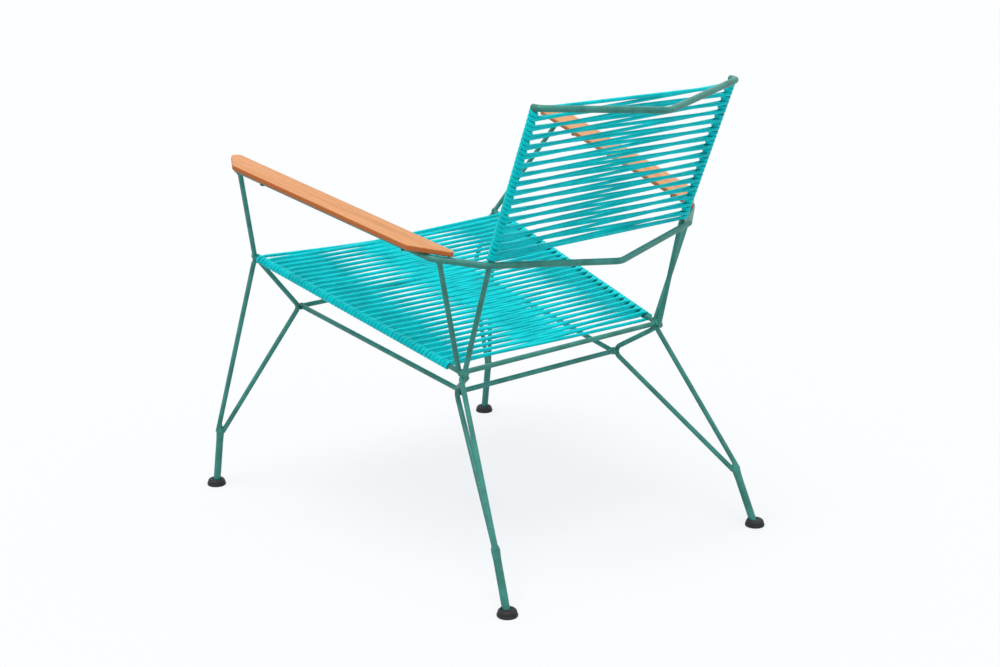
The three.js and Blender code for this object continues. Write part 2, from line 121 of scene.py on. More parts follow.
def shade(name, description, hexcode):
    return StringProperty(name=name, description=description, default=hexcode, maxlen=7)


class RodSizes(PropertyGroup):
    """Stock sizes of the rods and the places of their joints on the chair's left half."""

    frame_rod: length("Frame rod", "Diameter of the rods of legs, rails, posts and ring", 8)
    bow_rod: length("Bow rod", "Diameter of the arm rod and of both bows", 10)
    lower_leg_rod: length("Lower leg rod", "Diameter of the four lower legs", 12)
    weld_gap: length("Weld gap", "Gap that two rods keep where a bead joins them", 0.3)
    seat_front: place("Seat front", "Front end of the seat side rail", 256, -296, 410)
    seat_rear: place("Seat rear", "Where the rear rail meets the side rail", 204, 171.3, 313.5)
    front_foot: place("Front foot", "Middle of the front foot on the floor", 298.5, -376.25, 0)
    rear_foot: place("Rear foot", "Middle of the rear foot on the floor", 263.5, 345, 0)
    front_join: place("Front join", "Top of the front lower leg", 296, -361, 100)
    rear_join: place("Rear join", "Top of the rear lower leg", 254.5, 308, 88.5)
    front_elbow: place("Front elbow", "Inner corner of the front leg", 187, -274.7, 317)
    rear_elbow: place("Rear elbow", "Inner corner of the rear leg", 164.5, 108.8, 262.5)
    front_knee: length("Front knee", "Flat at the top of the front leg", 9)
    rear_knee: length("Rear knee", "Flat at the top of the rear leg", 12)
    knee_drop: length("Knee drop", "Fall of that flat", 3.5)
    knee_bend: length("Knee bend", "Bend radius at the knees", 5.5)
    elbow_bend: length("Elbow bend", "Bend radius at the elbows", 12)
    arm_front: place("Arm front", "Front end of the arm rod over its post", 332, -212, 575)
    arm_rear: place("Arm rear", "Rear bend of the arm rod", 268, 181, 500.5)
    arm_bend: length("Arm bend", "Bend radius of the arm rod", 12)
    arm_tail: length("Arm rod tail", "How far the arm rod runs past its front post", 8)
    post_share: share("Rear post place", "Share of the way from the bow's bend to the arm's", 0.85)
    post_spacing: length("Post spacing", "Distance between rear arm post and back rod", 11.5)
    bow_meets_back: place("Bow on back rod", "Where the lower bow crosses the back rod", 195.3, 226.9, 489.5)
    bow_apex: place("Lower bow apex", "Rearmost point of the lower bow", 0, 295.7, 474.8)
    bow_outward: length("Bow bend outward", "How far outside the back rod the bow bends", 12.5)
    back_top: place("Back rod top", "Where the back rod meets the top bow", 196.5, 323.6, 727.7)
    top_bow_height: length("Top bow height", "Height of the top bow's ends", 728)
    top_apex: place("Top bow apex", "Rearmost point of the top bow", 0, 387, 711)
    top_bend: length("Top bow bend", "Bend radius of the top bow's ends", 9)
    apex_bend: length("Apex bend", "Bend radius of both apexes", 30)
    return_behind: length("Return behind", "How far behind the back rod the top bow bends", 9)
    return_ahead: length("Return ahead", "How far ahead of the back rod the top bow ends", 5)
    stretcher_tail: length("Stretcher tail", "Side stretcher's overrun past the elbow", 5)
    end_chamfer: length("End chamfer", "Chamfer on the cut ends of the rods", 0.6)


class BeadSizes(PropertyGroup):
    """Weld beads under the enamel."""

    bead: length("Bead", "Radius of a weld bead", 1.5)
    filler: length("Filler", "How far the filler at a lower leg's top reaches along it", 15)
    filler_swell: length("Filler swell", "How far that filler stands out from the leg", 0.8)
    heavy_bead: length("Heavy bead", "Radius of the beads on the lower legs", 2.0)
    fillet: length("Fillet length", "Length of the weld where two rods lie side by side", 15)
    ripple: share("Ripple", "How uneven the beads are, as a share of their radius", 0.22)


class CordSizes(PropertyGroup):
    """The hollow cord and how it is wound."""

    diameter: length("Cord", "Diameter of the cord where it spans", 5.5)
    flat_thickness: length("Flat thickness", "Thickness where it is pressed flat round a rod", 2.7)
    flat_width: length("Flat width", "Width where it is pressed flat", 6.8)
    landing: length("Landing", "Length over which the round cord turns flat", 9)
    seat_strands: count("Seat strands", "Strands of the seat winding", 59)
    seat_lean: length("Seat lean", "How far a seat strand falls back on its way across", 2.5)
    seat_skew: length("Seat skew", "How much further on the seat's turns stand on the right rail", 4)
    seat_front_margin: length("Seat front margin", "Rail in front of the first strand's middle", 15.5)
    seat_rear_margin: length("Seat rear margin", "Rail behind the last strand's middle", 27.7)
    seat_lead: number("Seat lead", "Turns before the seat's first strand", 1.0)
    front_sag: length("Front sag", "How far the seat's first strand sags", 7)
    sag: length("Sag", "How far the other seat strands sag", 1.5)
    back_strands: count("Back strands", "Strands of the back winding, after the one that opens it", 33)
    back_lean: length("Back lean", "How far a back strand falls back on its way across", 2.9)
    back_skew: length("Back skew", "How much further on the back's turns stand on the right rod", 0.3)
    back_low_margin: length("Back low margin", "Rod from the lower bow to the first strand's middle", 5.4)
    back_top_margin: length("Back top margin", "Rod from the last strand's middle to the top bow", 0)
    back_lead: number("Back lead", "Turns before the back's first strand", 0.25)
    opening_leaves: length("Opening strand leaves", "How far before the first strand it leaves", 4.5)
    opening_lands: length("Opening strand lands", "How far before the first strand it lands", 5.8)
    opening_rise: length("Opening strand rise", "How far its turn rises behind the lower bow", 2.3)
    opening_width: length("Opening strand width", "Width of that turn behind the lower bow", 4.6)
    first_lands: length("First strand lands", "How far beyond its start the first strand lands", 5.3)
    wander: length("Wander", "How far a strand strays from its even place", 0.5)


class ArmrestSizes(PropertyGroup):
    """The wooden armrests and the screws that hold them."""

    width: length("Width", "Width of the board", 45)
    thickness: length("Thickness", "Thickness of the board", 10)
    front_overhang: length("Front overhang", "Board in front of the front post", 30)
    rear_overhang: length("Rear overhang", "Board behind the arm rod's rear bend", 33)
    front_facet: length("Front facet", "Fall of the short cut across the tip", 3)
    tip_across: length("Tip across", "Width of that cut", 14.5)
    front_corner: length("Front corner", "Length of the slanted front corner", 37)
    rear_taper: length("Rear taper", "Length of the slanted rear end", 62)
    corner_round: length("Corner round", "Radius of the corners seen from above", 6)
    bevel_width: length("Bevel width", "How far the bottom edge is cut back", 5)
    bevel_height: length("Bevel height", "Height of that cut", 3)
    tip_round: length("Tip round", "Radius of the pointed rear corner", 4)
    ease: length("Ease", "Radius of the rounded top edge", 1.2)
    screw_shank: length("Screw shank", "Diameter of a screw's shank", 4)
    screw_head: length("Screw head", "Diameter of a screw's head", 8)
    head_height: length("Head height", "Height of a screw's head", 1.6)
    screw_bite: length("Screw bite", "How deep a screw goes into the wood", 6.5)
    front_screw: share("Front screw", "Place of the front screw along the arm", 0.13)
    rear_screw: share("Rear screw", "Place of the rear screw along the arm", 0.87)


class FootSizes(PropertyGroup):
    """The rubber feet."""

    diameter: length("Diameter", "Widest diameter, near the floor", 31.5)
    height: length("Height", "Height of a foot", 11)
    top_share: share("Top share", "Top diameter over the widest", 0.78)
    socket: length("Socket", "Diameter of the hole that the leg stands in", 14)
    socket_floor: length("Socket floor", "Height of the hole's floor", 4)


class Finish(PropertyGroup):
    """Colours, as sRGB hex values."""

    enamel: shade("Enamel", "Green enamel on the steel", "#3C978A")
    enamel_dark: shade("Enamel, thin", "Enamel where it lies thin", "#2E7F72")
    enamel_speck: shade("Enamel, specks", "Grit in the enamel", "#24554A")
    cord: shade("Cord", "Turquoise plastic cord", "#00E6EC")
    cord_deep: shade("Cord, deep", "The cord's darker streaks", "#00CED4")
    wood: shade("Wood", "Oiled wood, early wood", "#F0AB74")
    wood_grain: shade("Wood grain", "Oiled wood, late wood", "#D2894C")
    wood_pore: shade("Wood pores", "Oil and dust in the open pores", "#8A4F22")
    # Painted shade, partly real: the board's sides below its top take this darker colour, partly oil soaked
    # into the sawn edges and partly shade painted in
    wood_side_oil_and_shade: shade("Wood edge", "Oiled wood where the saw left open edges", "#BE5C12")
    rubber: shade("Rubber", "Black rubber feet", "#18181C")
    rubber_dust: shade("Rubber, dusty", "Dust in the rubber's hollows", "#404046")
    zinc: shade("Zinc", "Zinc-plated screws", "#8E8E8A")
    floor: shade("Floor", "Studio floor and backdrop", "#FBFCFE")
    floor_bounce: shade("Floor bounce", "The floor as the chair sees it", "#D2D2D4")


class StudioSizes(PropertyGroup):
    """Camera and light. The camera stands where the photograph was taken from."""

    image_width: count("Image width", "Pixels across the image", 1000)
    focal_pixels: number("Focal length", "Focal length in pixels of that image", 1883.0)
    sensor: number("Sensor", "Sensor width in millimetres", 36.0)
    camera: place("Camera", "Where the camera stands", 1886.1, 2230.2, 1162.6)
    azimuth: angle("Azimuth", "Turn round the chair, from looking along +Y", 139.525)
    elevation: angle("Elevation", "How far the camera looks down", 16.521)
    floor_size: number("Floor size", "Side of the floor", 40.0, unit="LENGTH")
    glow: share("Glow", "Share of the floor's light that comes from below the paper", 0.76)
    dome_low: number("Dome, low", "Strength of the light from the horizon", 0.42)
    dome_high: number("Dome, high", "Strength of the light from straight above", 0.78)
    key_strength: number("Key strength", "Strength of the wide overhead light", 1.4)
    key_angle: angle("Key angle", "How wide the overhead light looks", 32)
    key: place("Key", "Direction that the overhead light comes from", 900, 300, 2900)


class ChairSettings(PropertyGroup):
    """All of the chair's sizes and colours."""

    rods: PointerProperty(type=RodSizes)
    beads: PointerProperty(type=BeadSizes)
    cord: PointerProperty(type=CordSizes)
    armrest: PointerProperty(type=ArmrestSizes)
    foot: PointerProperty(type=FootSizes)
    finish: PointerProperty(type=Finish)
    studio: PointerProperty(type=StudioSizes)


# Vectors and curves

def unit(vectors):
    """Vectors over their own lengths."""
    vectors = np.asarray(vectors, float)
    return vectors / np.linalg.norm(vectors, axis=-1, keepdims=True)


def square_to(vectors, axes):
    """The part of each vector that stands square to its axis, at unit length."""
    vectors = np.asarray(vectors, float)
    along_axis = np.sum(vectors * axes, axis=-1, keepdims=True)
    return unit(vectors - along_axis * axes)


def points(*places):
    """Places or properties as arrays."""
    return [np.array(place, float) for place in places]


def smooth(values):
    """Runs from 0 to 1 with level ends: three times the square less twice the cube."""
    held = np.clip(values, 0.0, 1.0)
    return held * held * (3.0 - 2.0 * held)


def bent(corners, radii, step=math.radians(7.5)):
    """A line through corners, each rounded by an arc that touches both of its legs.

    An arc of radius r that turns the line by t starts r * tan(t / 2) before its corner.
    """
    corners = points(*corners)
    stretches = [corners[:1]]
    for before, corner, after, radius in zip(corners, corners[1:], corners[2:], radii):
        arriving = unit(corner - before)
        leaving = unit(after - corner)
        turn = math.acos(float(np.clip(arriving @ leaving, -1.0, 1.0)))
        inward = square_to(leaving, arriving)
        begin = corner - arriving * radius * math.tan(turn / 2)
        angles = np.linspace(0.0, turn, max(2, math.ceil(turn / step)) + 1)[:, None]
        stretches.append(begin + radius * ((1 - np.cos(angles)) * inward + np.sin(angles) * arriving))
    stretches.append(corners[-1:])
    return np.concatenate(stretches)


def densified(path, spacing):
    """The same line with further points, so that no stretch is longer than spacing. A point that
    almost meets the next one is left out."""
    lengths = np.linalg.norm(np.diff(path, axis=0), axis=1)
    travelled = np.concatenate([[0.0], np.cumsum(lengths)])
    even = np.arange(0.0, travelled[-1], spacing)
    places = np.union1d(np.round(travelled, DECIMALS), np.round(even, DECIMALS))
    places = places[np.append(np.diff(places) > spacing * ALMOST_MEETS, True)]
    return np.stack([np.interp(places, travelled, path[:, axis]) for axis in range(3)], axis=1)


def tangents(path):
    """Directions along a line: at each point the mean of the stretches before and after it."""
    steps = unit(np.diff(path, axis=0))
    return unit(np.concatenate([steps[:1], steps[:-1] + steps[1:], steps[-1:]]))


# Meshes

class Shape:
    """Points and faces of a piece. The grain is each point's place in the board it was sawn from."""

    def __init__(self, points, faces, grain=None):
        self.points = np.reshape(points, (-1, 3))
        self.faces = faces
        self.grain = self.points if grain is None else np.reshape(grain, (-1, 3))

    def mirrored(self):
        """The same shape on the other side, its faces turned to point outwards again."""
        return Shape(self.points * MIRROR, [face[::-1] for face in self.faces], self.grain)


def joined(shapes):
    """Several shapes as one."""
    starts = np.cumsum([0] + [len(shape.points) for shape in shapes]).tolist()
    faces = [[spot + start for spot in face]
             for start, shape in zip(starts, shapes) for face in shape.faces]
    return Shape(np.concatenate([shape.points for shape in shapes]), faces)


def circle(sides, x, y):
    """Points cos(t) * x + sin(t) * y, for t in even steps round the circle."""
    turn = np.linspace(0.0, 2 * math.pi, sides, endpoint=False)[:, None]
    return np.cos(turn) * x + np.sin(turn) * y


def section_rings(path, across, over, half_across, half_over, sides):
    """An ellipse round each point of a line."""
    x, y = half_across[:, None] * across, half_over[:, None] * over
    return path[:, None] + circle(sides, x[:, None], y[:, None])


def ring_faces(rings, sides, closed=False):
    """Quads between neighbouring rings of a grid whose rings are numbered one after another."""
    ring, spot = np.ogrid[:rings if closed else rings - 1, :sides]
    after, beside = (ring + 1) % rings * sides, (spot + 1) % sides
    ring = ring * sides
    quads = np.stack([ring + spot, ring + beside, after + beside, after + spot], axis=-1)
    return quads.reshape(-1, 4).tolist()


def ring_shape(rings, closed=False, grain=None):
    """A grid of rings, each an array of points round a line, with flat ends unless it is closed."""
    total, sides = rings.shape[:2]
    faces = ring_faces(total, sides, closed)
    if not closed:
        faces += [list(range(sides - 1, -1, -1)), list(range((total - 1) * sides, total * sides))]
    return Shape(rings, faces, grain)


def rod_shape(path, diameter, reference, chamfer):
    """A round bar along a line: circles square to the line, kept from twisting by one reference
    direction, with a small chamfer at each cut end."""
    path = densified(np.array(path), ROD_STEP)
    along = tangents(path)
    path = np.concatenate([path[:1], path[:1] + along[0] * chamfer, path[1:-1],
                           path[-1:] - along[-1] * chamfer, path[-1:]])
    along = np.concatenate([along[:1], along, along[-1:]])
    radius = np.full(len(path), diameter / 2)
    radius[[0, -1]] -= chamfer
    over = square_to(reference, along)
    return ring_shape(section_rings(path, np.cross(over, along), over, radius, radius, ROD_SIDES))


def turned_shape(radii, heights, axis, origin, sides):
    """A turned shape: each radius and height goes round the axis as a circle. The first and last
    stand on the axis itself."""
    x = square_to(SIDEWAYS if abs(axis[0]) < NEARLY_SIDEWAYS else UPWARD, axis)
    around = circle(sides, x, np.cross(axis, x))
    rings = origin + radii[1:-1, None, None] * around + heights[1:-1, None, None] * axis
    faces = ring_faces(len(rings), sides)
    low = len(rings) * sides
    high, last = low + 1, low - sides
    faces += [[low, (spot + 1) % sides, spot] for spot in range(sides)]
    faces += [[high, last + spot, last + (spot + 1) % sides] for spot in range(sides)]
    ends = origin + heights[[0, -1], None] * axis
    return Shape(np.concatenate([rings.reshape(-1, 3), ends]), faces)


def stays_in_place(name, shape, nodes):
    """Stops the script where a piece doesn't stand where the nodes that it replaces stand."""
    boxes = np.array([points(*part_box(node)) for node in nodes])
    off = max(np.abs(shape.points.min(axis=0) - boxes[:, 0].min(axis=0)).max(),
              np.abs(shape.points.max(axis=0) - boxes[:, 1].max(axis=0)).max())
    if off > MOST_OFF:
        raise ValueError(f"{name} stands {off / MM:.1f} mm off {', '.join(nodes)}")


def new_object(name, data):
    """An object of the scene that shows this mesh, light or camera."""
    thing = bpy.data.objects.new(name, data)
    bpy.context.scene.collection.objects.link(thing)
    return thing


def add_piece(name, shape, slot, sharp, nodes=()):
    """Turns a shape into a mesh object at the origin, on the chair's body, in place of its nodes.
    Edges sharper than that many degrees stay sharp."""
    mesh = bpy.data.meshes.new(name)
    mesh.from_pydata(shape.points.tolist(), [], shape.faces)
    grain = mesh.attributes.new("grain", "FLOAT_VECTOR", "POINT")
    grain.data.foreach_set("vector", shape.grain.ravel())
    mesh.validate()
    mesh.shade_smooth()
    mesh.set_sharp_from_angle(angle=math.radians(sharp))
    mesh.materials.append(material_for(slot))
    piece = new_object(name, mesh)
    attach(piece, BODY)
    if nodes:
        stays_in_place(name, shape, nodes)
        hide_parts(*nodes)


def add_pair(name, shape, slot, sharp):
    """The left piece and its mirror image, each in place of the CAD node of that name."""
    for node, half in ((f"{name}_left", shape), (f"{name}_right", shape.mirrored())):
        add_piece(f"{node}_shown", half, slot, sharp, (node,))


def add_rod(rods, name, path, reference, diameter=None, pair=True):
    """Adds a rod along a line, a frame rod unless another diameter is given."""
    shape = rod_shape(path, diameter or rods.frame_rod, reference, rods.end_chamfer)
    if pair:
        add_pair(name, shape, "frame_enamel", ROD_SHARP)
    else:
        add_piece(f"{name}_shown", shape, "frame_enamel", ROD_SHARP, (name,))


# Centre lines

def leg_lines(rods, corner, seat_up, knee_width, elbow, join, foot):
    """One leg's places and the line of its bent hairpin.

    The hairpin runs from the join up to the knee under the seat corner, along a short flat, down to
    the elbow and back to the join. Its two ends stand side by side on the lower leg's top. The knee's
    corner is raised by what its rounding takes away, so that the bend meets the rail above it.
    """
    knee = corner - seat_up * (rods.frame_rod + rods.weld_gap)
    inner_knee = knee + np.array([-knee_width, 0.0, -rods.knee_drop])
    leg_axis = unit(join - foot)
    apart = square_to(knee - elbow, leg_axis) * (rods.frame_rod + rods.weld_gap) / 2
    sunk = leg_axis * rods.end_chamfer * 2
    ends = (join + apart - sunk, join - apart - sunk)
    radii = (rods.knee_bend, rods.knee_bend, rods.elbow_bend)
    flat = bent([ends[0], knee, inner_knee, elbow, ends[1]], radii)
    rise = UPWARD * (knee[2] - flat[:, 2].max())
    hairpin = bent([ends[0], knee + rise, inner_knee + rise, elbow, ends[1]], radii)
    return {"hairpin": hairpin, "knee": knee, "inner_knee": inner_knee + rise, "ends": ends,
            "axis": leg_axis, "join": join, "elbow": elbow, "ground": foot}


def beside_elbow(rods, leg):
    """Where the side stretcher's centre line passes the elbow, on its inner side."""
    arriving = unit(leg["elbow"] - leg["inner_knee"])
    leaving = unit(leg["join"] - leg["elbow"])
    turn = math.acos(float(arriving @ leaving))
    bow_out = rods.elbow_bend / math.cos(turn / 2) - rods.elbow_bend
    apex = leg["elbow"] + unit(leaving - arriving) * bow_out
    return apex - SIDEWAYS * (rods.frame_rod + rods.weld_gap)


def chair_lines(rods):
    """Every centre line of the chair's left half, worked out from the joints' places."""
    front, rear, arm_front, arm_rear, crossing, apex, back_top, top_apex = points(
        rods.seat_front, rods.seat_rear, rods.arm_front, rods.arm_rear, rods.bow_meets_back,
        rods.bow_apex, rods.back_top, rods.top_apex)
    axis = unit(rear - front)
    seat_up = unit(np.cross(SIDEWAYS, axis))
    front_leg = leg_lines(rods, front, seat_up, rods.front_knee,
                          *points(rods.front_elbow, rods.front_join, rods.front_foot))
    rear_leg = leg_lines(rods, rear, seat_up, rods.rear_knee,
                         *points(rods.rear_elbow, rods.rear_join, rods.rear_foot))
    ring_front, ring_rear = beside_elbow(rods, front_leg), beside_elbow(rods, rear_leg)
    ring_axis = unit(ring_rear - ring_front)

    # The lower bow passes just behind the back rod: seen from above, its line keeps a rod's width away
    reach = math.hypot(crossing[0], crossing[1] - apex[1])
    offset = (rods.frame_rod + rods.bow_rod) / 2 + rods.weld_gap
    bearing = math.atan2(crossing[1] - apex[1], crossing[0]) + math.asin(offset / reach)
    bend_x = crossing[0] + rods.bow_outward
    bow_bend = np.array([bend_x, apex[1] + bend_x * math.tan(bearing), crossing[2]])

    tip, bend = points((back_top[0], back_top[1] - rods.return_ahead, rods.top_bow_height),
                       (back_top[0], back_top[1] + rods.return_behind, rods.top_bow_height))
    sweep = math.atan2(top_apex[1] - bend[1], back_top[0])
    top_apex[1] += rods.apex_bend / math.cos(sweep) - rods.apex_bend

    def whole(left, middle):
        return [*left, middle, *[corner * MIRROR for corner in reversed(left)]]

    tail = arm_front - unit(arm_rear - arm_front) * rods.arm_tail
    arm_radii = (rods.arm_bend, rods.arm_bend, rods.apex_bend, rods.arm_bend, rods.arm_bend)
    top_radii = (rods.top_bend, rods.apex_bend, rods.top_bend)
    return {
        "front_leg": front_leg,
        "rear_leg": rear_leg,
        "seat_axis": axis,
        "seat_up": seat_up,
        "side_rail": [front - axis * rods.frame_rod / 2, rear + axis * rods.post_spacing],
        "rear_rail": [rear, rear * MIRROR],
        "side_stretcher": [ring_front - ring_axis * rods.stretcher_tail,
                           ring_rear + ring_axis * rods.stretcher_tail],
        "front_stretcher": [ring_front, ring_front * MIRROR],
        "rear_stretcher": [ring_rear, ring_rear * MIRROR],
        "front_post": [front, arm_front],
        "rear_post": [rear - axis * rods.post_spacing / 2,
                      bow_bend + (arm_rear - bow_bend) * rods.post_share],
        "back_rod": [rear + axis * rods.post_spacing / 2, crossing, back_top],
        "arm_bow": bent(whole([tail, arm_rear, bow_bend], apex), arm_radii),
        "bow_line": [bow_bend, apex],
        "top_bow": bent(whole([tip, bend], top_apex), top_radii),
        "top_return": [tip, bend],
    }


# Materials

def linear(hexcode):
    """An sRGB hex colour as the linear values that Blender works in."""
    srgb = np.array([int(hexcode[i:i + 2], 16) for i in (1, 3, 5)]) / 255
    low = srgb / 12.92
    high = ((srgb + 0.055) / 1.055) ** 2.4
    return (*np.where(srgb <= 0.04045, low, high).tolist(), 1.0)


class Nodes:
    """The node tree of a material or world, cleared and filled again."""

    def __init__(self, owner):
        owner.use_nodes = True
        self.tree = owner.node_tree
        self.tree.nodes.clear()

    def add(self, kind, output=None, inputs=None, **settings):
        """Adds a node and gives back one of its outputs. Inputs are values, or outputs to link."""
        node = self.tree.nodes.new(f"ShaderNode{kind}")
        for option, value in settings.items():
            setattr(node, option, value)
        for key, value in (inputs or {}).items():
            if isinstance(value, bpy.types.NodeSocket):
                self.tree.links.new(value, node.inputs[key])
            else:
                node.inputs[key].default_value = value
        return node.outputs[output] if output else None

    def noise(self, where, millimetres, detail, roughness=0.5, distortion=0.0):
        """Noise whose spots are about that many millimetres across."""
        return self.add("TexNoise", "Fac", {
            "Vector": where, "Scale": 1.0 / (millimetres * MM), "Detail": detail,
            "Roughness": roughness, "Distortion": distortion})

    def cells(self, where, millimetres):
        """Distances from the middles of cells that are about that many millimetres across."""
        return self.add("TexVoronoi", "Distance", {"Vector": where, "Scale": 1.0 / (millimetres * MM)})

    def stretched(self, where, *scale):
        """Places scaled along each axis: a smaller number draws spots out along it."""
        return self.add("Mapping", "Vector", {"Vector": where, "Scale": scale})

    def ramp(self, value, start, end, low=0.0, high=1.0):
        """Low up to the start, high from the end on, and a straight slope between them."""
        return self.add("MapRange", "Result", {
            "Value": value, "From Min": start, "From Max": end, "To Min": low, "To Max": high})

    def layered(self, base, *layers):
        """A colour with others laid over it, each by its own amount."""
        colour = linear(base)
        for amount, hexcode in layers:
            colour = self.add("Mix", "Result", {"Factor": amount, "A": colour, "B": linear(hexcode)},
                              data_type="RGBA")
        return colour

    def bump(self, height, strength, millimetres, **under):
        """The surface's direction where it rises by so many millimetres."""
        return self.add("Bump", "Normal", {
            "Height": height, "Strength": strength, "Distance": millimetres * MM, **under})

    def surface(self, colour, roughness, normal, others):
        """The shader that the others are inputs of, by name."""
        return self.add("BsdfPrincipled", "BSDF", {
            "Base Color": colour, "Roughness": roughness, "Normal": normal, **others})


def brushed_enamel(nodes, chair):
    """Brushed-on enamel over welded steel: a semi-gloss green coat, thicker in drips and in the
    crotches of the welds, a little thinner and darker in places, with faint brush waves."""
    finish = chair.finish
    where = nodes.add("TexCoord", "Object")
    thin = nodes.noise(where, 28, 3.0, 0.55)
    grit = nodes.noise(where, 1.1, 2.0, 0.6)
    drips = nodes.noise(where, 6, 2.0)
    colour = nodes.layered(finish.enamel, (nodes.ramp(thin, 0.38, 0.66), finish.enamel_dark),
                           (nodes.ramp(grit, 0.66, 0.76, high=0.45), finish.enamel_speck))
    waves = nodes.bump(drips, 0.35, 0.5)
    return nodes.surface(colour, nodes.ramp(drips, 0.3, 0.7, 0.24, 0.4),
                         nodes.bump(grit, 0.25, 0.08, Normal=waves), {
                             "IOR": 1.5, "Specular IOR Level": 0.4, "Coat Weight": 0.08,
                             "Coat Roughness": 0.18})


def extruded_cord(nodes, chair):
    """Extruded soft PVC tube: smooth, glossy and slightly translucent, with faint lines along the
    cord from the die and slow changes of depth where the plasticiser sweats and dust settles."""
    finish = chair.finish
    where = nodes.add("TexCoord", "Object")
    lines = nodes.noise(nodes.stretched(where, 0.06, 1.0, 1.0), 1.4, 2.0)
    clouds = nodes.noise(where, 35, 3.0, 0.6)
    colour = nodes.layered(finish.cord, (nodes.ramp(clouds, 0.35, 0.68), finish.cord_deep))
    return nodes.surface(colour, nodes.ramp(lines, 0.3, 0.7, 0.2, 0.32),
                         nodes.bump(lines, 0.2, 0.12), {
                             "IOR": 1.53, "Specular IOR Level": 0.09, "Subsurface Weight": 0.12,
                             "Subsurface Scale": 1.2 * MM, "Subsurface Radius": (0.35, 1.0, 1.0)})


def oiled_wood(nodes, chair):
    """Oiled hardwood, sawn along the grain: warm tan with fine dark lines and short pores running the
    length of the board, sides below the top darkened partly by oil soaked into the sawn edges and partly
    by painted shade, and a satin sheen that breaks up along the pores."""
    finish, thickness = chair.finish, chair.armrest.thickness
    board = nodes.add("Attribute", "Vector", attribute_name="grain")
    lengthwise = nodes.stretched(board, 1.0, 0.035, 0.6)
    fibres = nodes.noise(lengthwise, 1.1, 4.0, 0.62, 0.3)
    bands = nodes.noise(lengthwise, 7, 3.0, distortion=0.8)
    pores = nodes.cells(nodes.stretched(board, 1.0, 0.12, 1.0), 1.6)
    height = nodes.add("SeparateXYZ", "Z", {"Vector": board})
    # Painted shade, partly real: the sides more than 1.4 mm below the board's top take the darker side
    # colour, partly for oil in the sawn edges and partly as painted shade
    edge = nodes.ramp(height, thickness - DARK_FROM, thickness - DARK_TO, 0.8, 0.0)
    colour = nodes.layered(finish.wood, (nodes.ramp(bands, 0.36, 0.66, high=0.55), finish.wood_grain),
                           (nodes.ramp(fibres, 0.42, 0.72, high=0.6), finish.wood_grain),
                           (nodes.ramp(pores, 0.05, 0.22, 0.5, 0.0), finish.wood_pore),
                           (edge, finish.wood_side_oil_and_shade))
    return nodes.surface(colour, nodes.ramp(fibres, 0.3, 0.7, 0.36, 0.52),
                         nodes.bump(fibres, 0.3, 0.15), {"IOR": 1.48, "Specular IOR Level": 0.3})


def moulded_rubber(nodes, chair):
    """Moulded black rubber: matt, with a fine spark-eroded grain and pale dust in the hollows."""
    finish = chair.finish
    where = nodes.add("TexCoord", "Object")
    grain = nodes.noise(where, 0.9, 3.0, 0.7)
    dust = nodes.noise(where, 5, 4.0, 0.65)
    colour = nodes.layered(finish.rubber, (nodes.ramp(dust, 0.5, 0.75, high=0.35), finish.rubber_dust))
    return nodes.surface(colour, nodes.ramp(dust, 0.3, 0.7, 0.5, 0.75), nodes.bump(grain, 0.4, 0.1),
                         {"IOR": 1.52})


def plated_zinc(nodes, chair):
    """Zinc-plated steel: a pale metal, slightly uneven in gloss, with fine scratches from the driver."""
    where = nodes.add("TexCoord", "Object")
    gloss = nodes.ramp(nodes.cells(where, 0.8), 0.0, 1.0, 0.28, 0.45)
    scratches = nodes.bump(nodes.noise(where, 0.5, 4.0), 0.25, 0.04)
    return nodes.surface(linear(chair.finish.zinc), gloss, scratches, {"Metallic": 1.0})


def studio_paper(nodes, chair):
    """A white sheet of translucent studio paper, lit from below as well as from above, so that the
    chair's shadow stays faint. Only the camera sees that glow and the full white: to the chair the
    paper is a mid grey, which keeps the undersides dark."""
    finish = chair.finish
    camera = nodes.add("LightPath", "Is Camera Ray")
    colour = nodes.layered(finish.floor_bounce, (camera, finish.floor))
    paper = nodes.add("BsdfDiffuse", "BSDF", {"Color": colour})
    light = nodes.add("Emission", "Emission", {"Color": linear(finish.floor), "Strength": 1.0})
    glow = nodes.add("Math", "Value", {0: camera, 1: chair.studio.glow}, operation="MULTIPLY")
    return nodes.add("MixShader", "Shader", {0: glow, 1: paper, 2: light})


MATERIALS = {
    "frame_enamel": ("Brushed enamel", brushed_enamel),
    "cord_plastic": ("Extruded PVC cord", extruded_cord),
    "armrest_wood": ("Oiled hardwood", oiled_wood),
    "foot_rubber": ("Moulded rubber", moulded_rubber),
    "screw_steel": ("Zinc-plated steel", plated_zinc),
    "studio_floor": ("Studio paper", studio_paper),
}


def material_for(slot):
    """The material of a slot, made when it is first asked for."""
    name, build = MATERIALS[slot]
    material = bpy.data.materials.get(name)
    if material is None:
        material = bpy.data.materials.new(name)
        nodes = Nodes(material)
        surface = build(nodes, bpy.context.scene.string_armchair)
        nodes.add("OutputMaterial", inputs={"Surface": surface})
    return material


# Shapes of the pieces

def uneven(turns, ripple, seed):
    """1 plus a few whole-number waves of random phase, so that the ends of a ring meet."""
    random = np.random.default_rng(seed)
    waves = np.arange(2, 7)
    phases = random.uniform(0.0, 2 * math.pi, len(waves))
    heights = random.uniform(0.4, 1.0, len(waves)) / len(waves)
    return 1.0 + ripple * np.sum(heights * np.sin(waves * turns[:, None] + phases), axis=1) * 2.0


